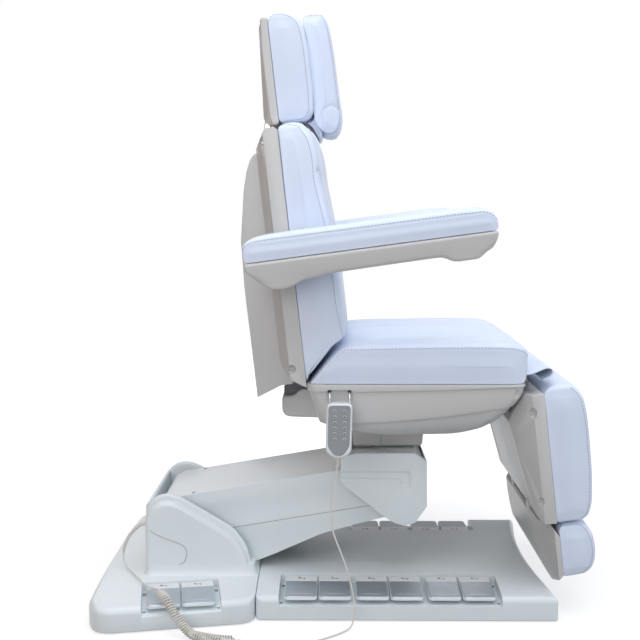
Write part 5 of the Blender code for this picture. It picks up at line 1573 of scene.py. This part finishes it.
@dataclass
class LiftArm:
    """Lift arm cover with its parting lines and screws, and the yoke's cover with an L-shaped channel."""

    half: float = 135.0
    line: Outline = ((112, -37), (180, -38), (300, -38), (420, -38), (520, -38), (534, -34), (538, -24))
    channel: Outline = ((-150, 51), (45, 51), (45, 11), (20, 11), (20, 32), (-150, 32))

    def build(self, nodes: dict[str, Piece]) -> None:
        """Ease the two covers, cut the yoke's channels and lay the parting lines.

        Args:
            nodes: the frame's nodes by name.
        """
        dress(eased_copy("arm_moulding", nodes["arm_cover"], 11.0, 4), MOULDING, "lift_arm", "moulding",
              "arm_cover")
        cutters = []
        for side in Side:
            span = side.span(169.0, 190.0)
            cutters.append(rounded_prism(f"channel_{side.label}", YOKE, self.channel, *span, 8.0, 5.0))
        dress(eased_copy("yoke_moulding", nodes["yoke_cover"], 6.0, 3, cutters=cutters), MOULDING, "yoke",
              "moulding", "yoke_cover")
        for side in Side:
            spot = np.array(self.line)
            points = LIFT.world(spot[:, 0], side.value * (self.half + 0.1), spot[:, 1]) / MM
            parting_line(f"arm_parting_line_{side.label}", points, 8.0, "lift_arm")
            base = LIFT.world(np.array(60.0), side.value * (self.half - 12.0), np.array(66.0)) / MM
            head = turned(f"arm_screw_{side.label}", base,
                          (-math.sin(math.radians(9.6)), 0.0, math.cos(math.radians(9.6))),
                          [(-1.0, 5.0), (0.8, 5.0), (1.6, 4.0), (1.7, 1.6), (0.6, 1.2)])
            dress(head, SCREW, "lift_arm", "frame_steel")


# Seat


@dataclass
class Tub:
    """Tub under the seat pad: rolled lip, a step, a crease that climbs to the front and a rounded belly.

    Each level is (height at the rear, share of the climb, half width, rear end, front end, corner radius).
    """

    levels: Table = ((579.6, 0, 290, -80, 422, 18), (579.6, 0, 297, -87, 429, 20),
                     (578.6, 0, 299.6, -89.5, 431.6, 21), (575.5, 0, 300.6, -90, 432, 22),
                     (566, 0.2, 300.6, -88, 432, 22), (562.6, 0.26, 300, -87, 432, 22),
                     (561.4, 0.26, 298, -85.5, 431, 22), (560.6, 0.26, 295.6, -83.5, 430, 22),
                     (556, 0.3, 295.2, -82.5, 429.5, 22), (540, 0.45, 295, -78, 428, 24),
                     (520, 0.65, 293.5, -72, 424, 26), (500, 0.85, 291, -66, 417, 29),
                     (487, 0.98, 288.6, -62, 411.5, 31), (483.4, 1, 287.4, -60.8, 409.5, 32),
                     (481.4, 1, 285.2, -59, 407.5, 33), (480, 1, 282.6, -57, 405, 34),
                     (475, 0.95, 280, -46, 401, 38), (467, 0.82, 275, -22, 391, 46),
                     (457, 0.62, 265.5, 5, 374, 56), (448.5, 0.4, 252, 30, 352, 66),
                     (443.6, 0.2, 236, 54, 324, 74), (441.2, 0.06, 214, 82, 294, 80),
                     (440.4, 0, 186, 110, 262, 76))
    climb: Curve = ((23, 105, 188, 250, 314, 360, 405, 440), (0, 4, 11, 18, 27.5, 34.5, 41, 46))

    def shape(self) -> Array:
        """Grid of the tub: rings of arcs and straights round each level, lifted by the climb.

        Returns:
            (levels, points, 3) in metres.
        """
        z, share, half, rear, front, radius = (
            column[:, None, None] for column in np.asarray(self.levels, float).T)
        turn = np.linspace(0.0, math.pi / 2, 10)[None, None]
        start = (np.array([2, 3, 0, 1]) * math.pi / 2)[None, :, None]
        ends, sides = (np.array(v)[None, :, None] for v in ((-1, 1, 1, -1), (-1, -1, 1, 1)))
        centre_x = np.where(ends < 0, rear + radius, front - radius)
        arcs = np.stack([centre_x + radius * np.cos(start + turn),
                         sides * (half - radius) + radius * np.sin(start + turn)], -1)
        along = np.linspace(0.0, 1.0, 42)[None, None, 1:-1, None]
        straights = arcs[:, :, -1:] * (1 - along) + np.roll(arcs[:, :, :1], -1, 1) * along
        ring = np.concatenate([arcs, straights], 2).reshape(len(self.levels), -1, 2)
        height = z[..., 0] + share[..., 0] * np.interp(ring[..., 0], *self.climb)
        return np.concatenate([ring, height[..., None]], 2) * MM

    def build(self) -> None:
        """Make the tub, take off its ways and recesses, and dress it."""
        ways = (("rear_way", [(-165, 455), (30, 455), (30, 600), (-165, 600)], -115.3, 115.3, 3.0, 1.0),
                ("front_way", [(380, 541), (513, 541), (513, 600), (380, 600)], -115.3, 115.3, 3.0, 1.0),
                ("hook_recess", [(-43, 536), (19, 536), (19, 567), (-43, 567)], -330.0, -290.0, 6.0, 2.0))
        cutters = [rounded_prism(name, GROUND, *form, 60) for name, *form in ways]
        cutters += [egg(f"scoop_{side.label}", (413.0, side.value * 303.0, 550.0), (13.5, 16.0, 20.0))
                    for side in Side]
        dress(carved(surface("tub_moulding", self.shape()), cutters), SHELL_PAINTED_SHADE, "seat", "moulding",
              "seat_shell")


@dataclass
class Seat:
    """Covers of the hinge bracket and the neck, handset hook and the vinyl flap."""

    flap_half: float = 266.0
    flap: Outline = ((430, 598.5), (443, 600.5), (458, 605.5), (473, 612.5), (486, 617), (496, 615.5),
                     (500.5, 608.5), (496.5, 598.5), (487, 591), (478, 585))
    hinge_cover: Outline = (
        (-157.5, 518), (-157.5, 480), (-151, 467.5), (-138, 463.5), (-38, 460), (-38, 537), (-110, 537),
        (-126, 519))
    neck_cover: Outline = ((20, 447), (24, 387), (100, 387), (203, 389), (207, 446))

    def build(self) -> None:
        """Make and dress the seat's pieces."""
        dress(rounded_prism("hinge_bracket_cover", GROUND, self.hinge_cover, -117.0, 117.0, 9.0, 6.0),
              SHELL_PAINTED_SHADE, "seat", "moulding")
        dress(rounded_prism("neck_cover", GROUND, self.neck_cover, -118.0, 118.0, 8.0, 6.0), SHELL_PAINTED_SHADE, "seat",
              "moulding")
        for side in Side:
            line = [(97.0, side.value * 118.2, z) for z in (393.0, 420.0, 445.0)]
            parting_line(f"neck_parting_line_{side.label}", line, 6.0, "seat")
        self.hook()
        self.make_flap()

    def hook(self) -> None:
        """Bright wire hook that carries the handset: two prongs out of holes in the tub's recess."""
        prong = [(-315.5, 512.0), (-315.5, 546.0), (-314.6, 553.0), (-311.0, 559.0), (-304.0, 561.0),
                 (-296.0, 561.2), (-287.0, 561.2)]
        wires = [tube(f"prong_{x:+.0f}", smooth_line([(x - 12.0, y, z) for y, z in prong], 2.5), 2.2, 12)
                 for x in (-23.5, 23.5)]
        dress(joined("handset_wire_hook", wires), CHROME, "seat", "chrome", "handset_hook")
        # Dark discs where the prongs enter the tub: painted shadow inside the holes.
        holes = [turned(f"hole_{x:+.0f}", (x - 12.0, -288.6, 561.2), (0.0, -1.0, 0.0),
                        [(0.0, 4.4), (1.6, 4.4), (1.6, 2.2)], 20) for x in (-23.5, 23.5)]
        dress(joined("hook_grommets", holes), INK_AND_PAINTED_SHADOW, "seat", "moulding")

    def make_flap(self) -> None:
        """Vinyl flap bridging seat and leg: it runs out over the leg pad and folds back under itself.

        The fold's height drops by 3 mm (y/half)^4 towards the ends and ripples by 1.2 mm along Y, both by
        sin(pi s) with s the share along the fold.
        """
        line = smooth_line([(x, 0.0, z) for x, z in self.flap], 4.0)
        across = np.linspace(-self.flap_half, self.flap_half, 121)[:, None]
        share = np.linspace(0.0, 1.0, len(line))[None]
        ripple = 1.2 * np.sin(across / 37.0) * np.sin(across / 11.0 + 1.0)
        dip = np.sin(math.pi * share) * (3.0 * (across / self.flap_half) ** 4 + ripple)
        points = np.stack([np.broadcast_to(line[None, :, 0], dip.shape), np.broadcast_to(across, dip.shape),
                           line[None, :, 2] - dip], -1) * MM
        piece = surface("leg_gap_flap", points, caps=False, wrap=False)
        solid = piece.modifiers.new("cloth_thickness", "SOLIDIFY")
        solid.thickness, solid.offset = 2.4 * MM, 0.0
        dress(piece, VINYL, "seat", "vinyl", "leg_flap")
        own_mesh(piece)


# Backrest and headrest


def pocket(name: str, place: Placement, n: float, across: float, l: float, size: Point) -> Piece:
    """Egg-shaped cutter of a screw pocket, at a place in a leaning frame.

    Args:
        name: name of the cutter.
        place: the frame.
        n: distance along the frame's forward axis, mm.
        across: Y, mm.
        l: distance along its upright, mm.
        size: half sizes on X, Y and Z, mm.

    Returns:
        The cutter.
    """
    return egg(name, place.world(np.array(n), across, np.array(l)) / MM, size)


def screw(name: str, place: Placement, n: float, across: float, l: float, body: str) -> None:
    """Zinc-plated screw that looks outwards along Y.

    Args:
        name: name of the piece.
        place: the frame.
        n: distance along the frame's forward axis, mm.
        across: Y of its seat, mm.
        l: distance along its upright, mm.
        body: body it rides on.
    """
    base = place.world(np.array(n), across, np.array(l)) / MM
    profile = [(0.0, 4.6), (2.2, 4.6), (3.1, 3.6), (3.1, 1.5), (2.0, 1.1)]
    dress(turned(name, base, (0.0, math.copysign(1.0, across), 0.0), profile), SCREW, body, "frame_steel")


@dataclass
class Backrest:
    """Back shell with screw pockets, its bulged rear cover and the headrest's shell with a sloped body."""

    head_flange: Outline = ((15.7, 645), (-1, 643), (-6, 662), (-7, 740), (-7, 828), (-2, 899), (2, 902),
                            (15.7, 903))
    head_body: Table = ((0, 106, -24, 196, 9), (1.2, 112, -31, 201, 12), (4, 117, -36, 204, 14),
                        (15, 144, -49, 210, 14), (24, 144, -49, 210, 14))

    def build(self, nodes: dict[str, Piece]) -> None:
        """Ease the shells, cut their pockets and make the headrest's shell.

        Args:
            nodes: the frame's nodes by name.
        """
        cutters = []
        for side in Side:
            sign, label = side.value, side.label
            cutters.append(pocket(f"back_pocket_low_{label}", BACK, -15.0, sign * 286.0, 56.0,
                                  (10.5, 13.0, 11.0)))
            cutters.append(pocket(f"back_pocket_high_{label}", BACK, -25.0, sign * 268.0, 596.0,
                                  (9.0, 18.0, 17.0)))
            screw(f"back_screw_low_{label}", BACK, -15.0, sign * 272.6, 56.0, "back")
            screw(f"back_screw_high_{label}", BACK, -24.0, sign * 249.6, 596.0, "back")
        dress(eased_copy("back_moulding", nodes["back_shell"], 3.0, 3, cutters=cutters), SHELL_PAINTED_SHADE, "back",
              "moulding", "back_shell")
        dress(eased_copy("back_cover_moulding", nodes["back_cover"], 12.0, 4), SHELL_PAINTED_SHADE, "back", "moulding",
              "back_cover")
        flange = rounded_prism("head_flange_moulding", BACK, self.head_flange, -150.0, 150.0, 6.0, 5.0)
        dress(flange, SHELL_PAINTED_SHADE, "head", "moulding", "head_shell")
        dress(rounded_loft("head_body_moulding", Placement(-202.5, 1246.5, 2.75), self.head_body), SHELL_PAINTED_SHADE,
              "head", "moulding")
        for side in Side:
            lug = rounded_prism(
                f"head_lug_{side.label}", BACK,
                [(-10, 690), (-5, 652), (-7, 636), (-14, 633.5), (-22, 636), (-26, 646), (-22, 656)],
                *side.span(75.0, 91.0), 5.0, 2.0, 80)
            dress(lug, SHELL_PAINTED_SHADE, "head", "moulding")


@dataclass
class Armrest:
    """One armrest: hub on the back and the moulded shell whose lower half draws in."""

    side: Side
    outline: Outline = ((-70, 29.7), (-70, 10), (-43, -15), (-19, -36), (8, -40), (34, -36), (56, -24),
                        (96, -21.5), (121, -17), (259, -15), (378, -14), (404, -29), (462, -29), (480, -14),
                        (494, -8), (506, 12), (511, 29.7))

    def build(self) -> None:
        """Make and dress the shell and the hub."""
        sign, label = self.side.value, self.side.label
        shell = rounded_prism(
            f"armrest_moulding_{label}", ARMREST, self.outline, *self.side.span(305.0, 393.0), 12.0, 7.0,
            200, ((-40.0, -18.0, 2.0, 8.0, 13.0, 30.0), (0.62, 0.72, 0.93, 0.975, 1.0, 1.0)))
        dress(shell, SHELL_PAINTED_SHADE, f"armrest_{label}", "moulding", f"arm_shell_{label}")
        hub = turned(f"armrest_hub_cap_{label}", (ARMREST.x, sign * 285.3, ARMREST.z), (0.0, sign, 0.0),
                     [(0.0, 28.0), (1.4, 30.0), (17.6, 30.0), (19.0, 28.6), (19.0, 10.0)], 40)
        dress(hub, SHELL_PAINTED_SHADE, f"arm_link_{label}", "moulding", f"arm_hub_{label}")


@dataclass
class LegSection:
    """Leg section's shell with its screw pockets, its rear cover, and the foot section's shell."""

    pockets: tuple[tuple[float, float, float, float], ...] = ((-10, -62, 10, 15), (-10.5, -280, 7.5, 10.5))

    def build(self, nodes: dict[str, Piece]) -> None:
        """Ease the shells, cut the pockets and add their screws.

        Args:
            nodes: the frame's nodes by name.
        """
        cutters = []
        for side in Side:
            for number, (n, l, wide, tall) in enumerate(self.pockets):
                cutters.append(pocket(f"leg_pocket_{side.label}_{number}", LEG, n, side.value * 284.0, l,
                                      (wide, 13.0, tall)))
                screw(f"leg_screw_{side.label}_{number}", LEG, n, side.value * 270.6, l, "leg")
        dress(eased_copy("leg_moulding", nodes["leg_shell"], 2.0, 2, cutters=cutters), SHELL_PAINTED_SHADE, "leg",
              "moulding", "leg_shell")
        dress(eased_copy("leg_cover_moulding", nodes["leg_cover"], 5.0, 3), SHELL_PAINTED_SHADE, "leg", "moulding",
              "leg_cover")
        dress(eased_copy("foot_moulding", nodes["foot_shell"], 3.0, 3), SHELL_PAINTED_SHADE, "foot", "moulding",
              "foot_shell")


@dataclass
class Handset:
    """Handset: moulded body, keypad foil with twelve keys, and the cord's strain relief."""

    centre: float = -12.0
    face: float = -344.0
    outline: Outline = ((-30.5, 542), (-33, 429), (-24, 419), (-12, 411.3), (6.5, 411.3), (20.5, 419),
                        (28, 429), (30.5, 542))

    def build(self) -> None:
        """Make and dress the handset's pieces."""
        place = Placement(self.centre, 0.0)
        body = rounded_prism(
            "handset_moulding", place, self.outline, self.face, self.face + 26.0, 14.0, 6.0, 140)
        dress(body, MOULDING, "handset", "moulding", "handset_body")
        foil = rounded_prism(
            "handset_foil", place,
            [(-26.0, 538), (-28.0, 440), (-13.0, 418), (8.0, 418), (23.5, 440), (26.0, 538)],
            self.face - 0.5, self.face + 2.0, 9.0, 0.4)
        dress(foil, KEY_FOIL, "handset", "moulding")
        keys = [turned(f"key_{row}_{column}", (self.centre + x, self.face - 0.4, 524.0 - row * 13.4),
                       (0.0, -1.0, 0.0), [(-0.4, 4.6), (0.8, 4.6), (1.3, 4.1), (1.5, 2.6), (1.5, 0.4)], 16)
                for row in range(6) for column, x in enumerate((-11.5, 11.5))]
        dress(joined("handset_keys", keys), KEY_RUBBER, "handset", "moulding")
        signs = [rounded_prism(
                     f"sign_{row}_{column}_{part}", Placement(self.centre + x, 524.0 - row * 13.4),
                     [(-a, -b), (a, -b), (a, b), (-a, b)], self.face - 2.1, self.face - 1.6, 0.3, 0.1, 24)
                 for row in range(6) for column, x in enumerate((-11.5, 11.5))
                 for part, (a, b) in enumerate(((2.6, 0.55), (0.55, 1.2 + 0.5 * ((row + column) % 3))))]
        dress(joined("handset_key_signs", signs), INK_AND_PAINTED_SHADOW, "handset", "moulding")
        relief = turned("handset_cord_relief", (self.centre - 4.0, -331.0, 411.8), (0.0, 0.0, -1.0),
                        [(-3.0, 4.6), (0.0, 4.4), (6.0, 3.8), (7.0, 4.1), (9.0, 4.0), (10.0, 3.5),
                         (12.0, 3.8), (14.0, 3.6), (15.0, 3.0), (20.0, 2.5), (22.0, 2.2)])
        dress(relief, SHEATH, "handset", "cord")


def main() -> None:
    """Build the studio and every sub-assembly in order."""
    logging.basicConfig(level=logging.INFO, format="%(message)s")
    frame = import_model()
    Studio().build()
    HandsetCord().build()
    nodes = frame["nodes"]
    NeckStrap().build()
    for form in (SEAT_PAD, BACK_PAD, HEAD_PAD, PILLOW, LEG_PAD, FOOT_PAD, arm_pad(Side.RIGHT),
                 arm_pad(Side.LEFT)):
        form.build()
    Metalwork().build(nodes)
    Base().build()
    Pedals().build()
    LiftArm().build(nodes)
    Tub().build()
    Seat().build()
    Backrest().build(nodes)
    for side in Side:
        Armrest(side).build()
    LegSection().build(nodes)
    Handset().build()


if __name__ == "__main__":
    main()
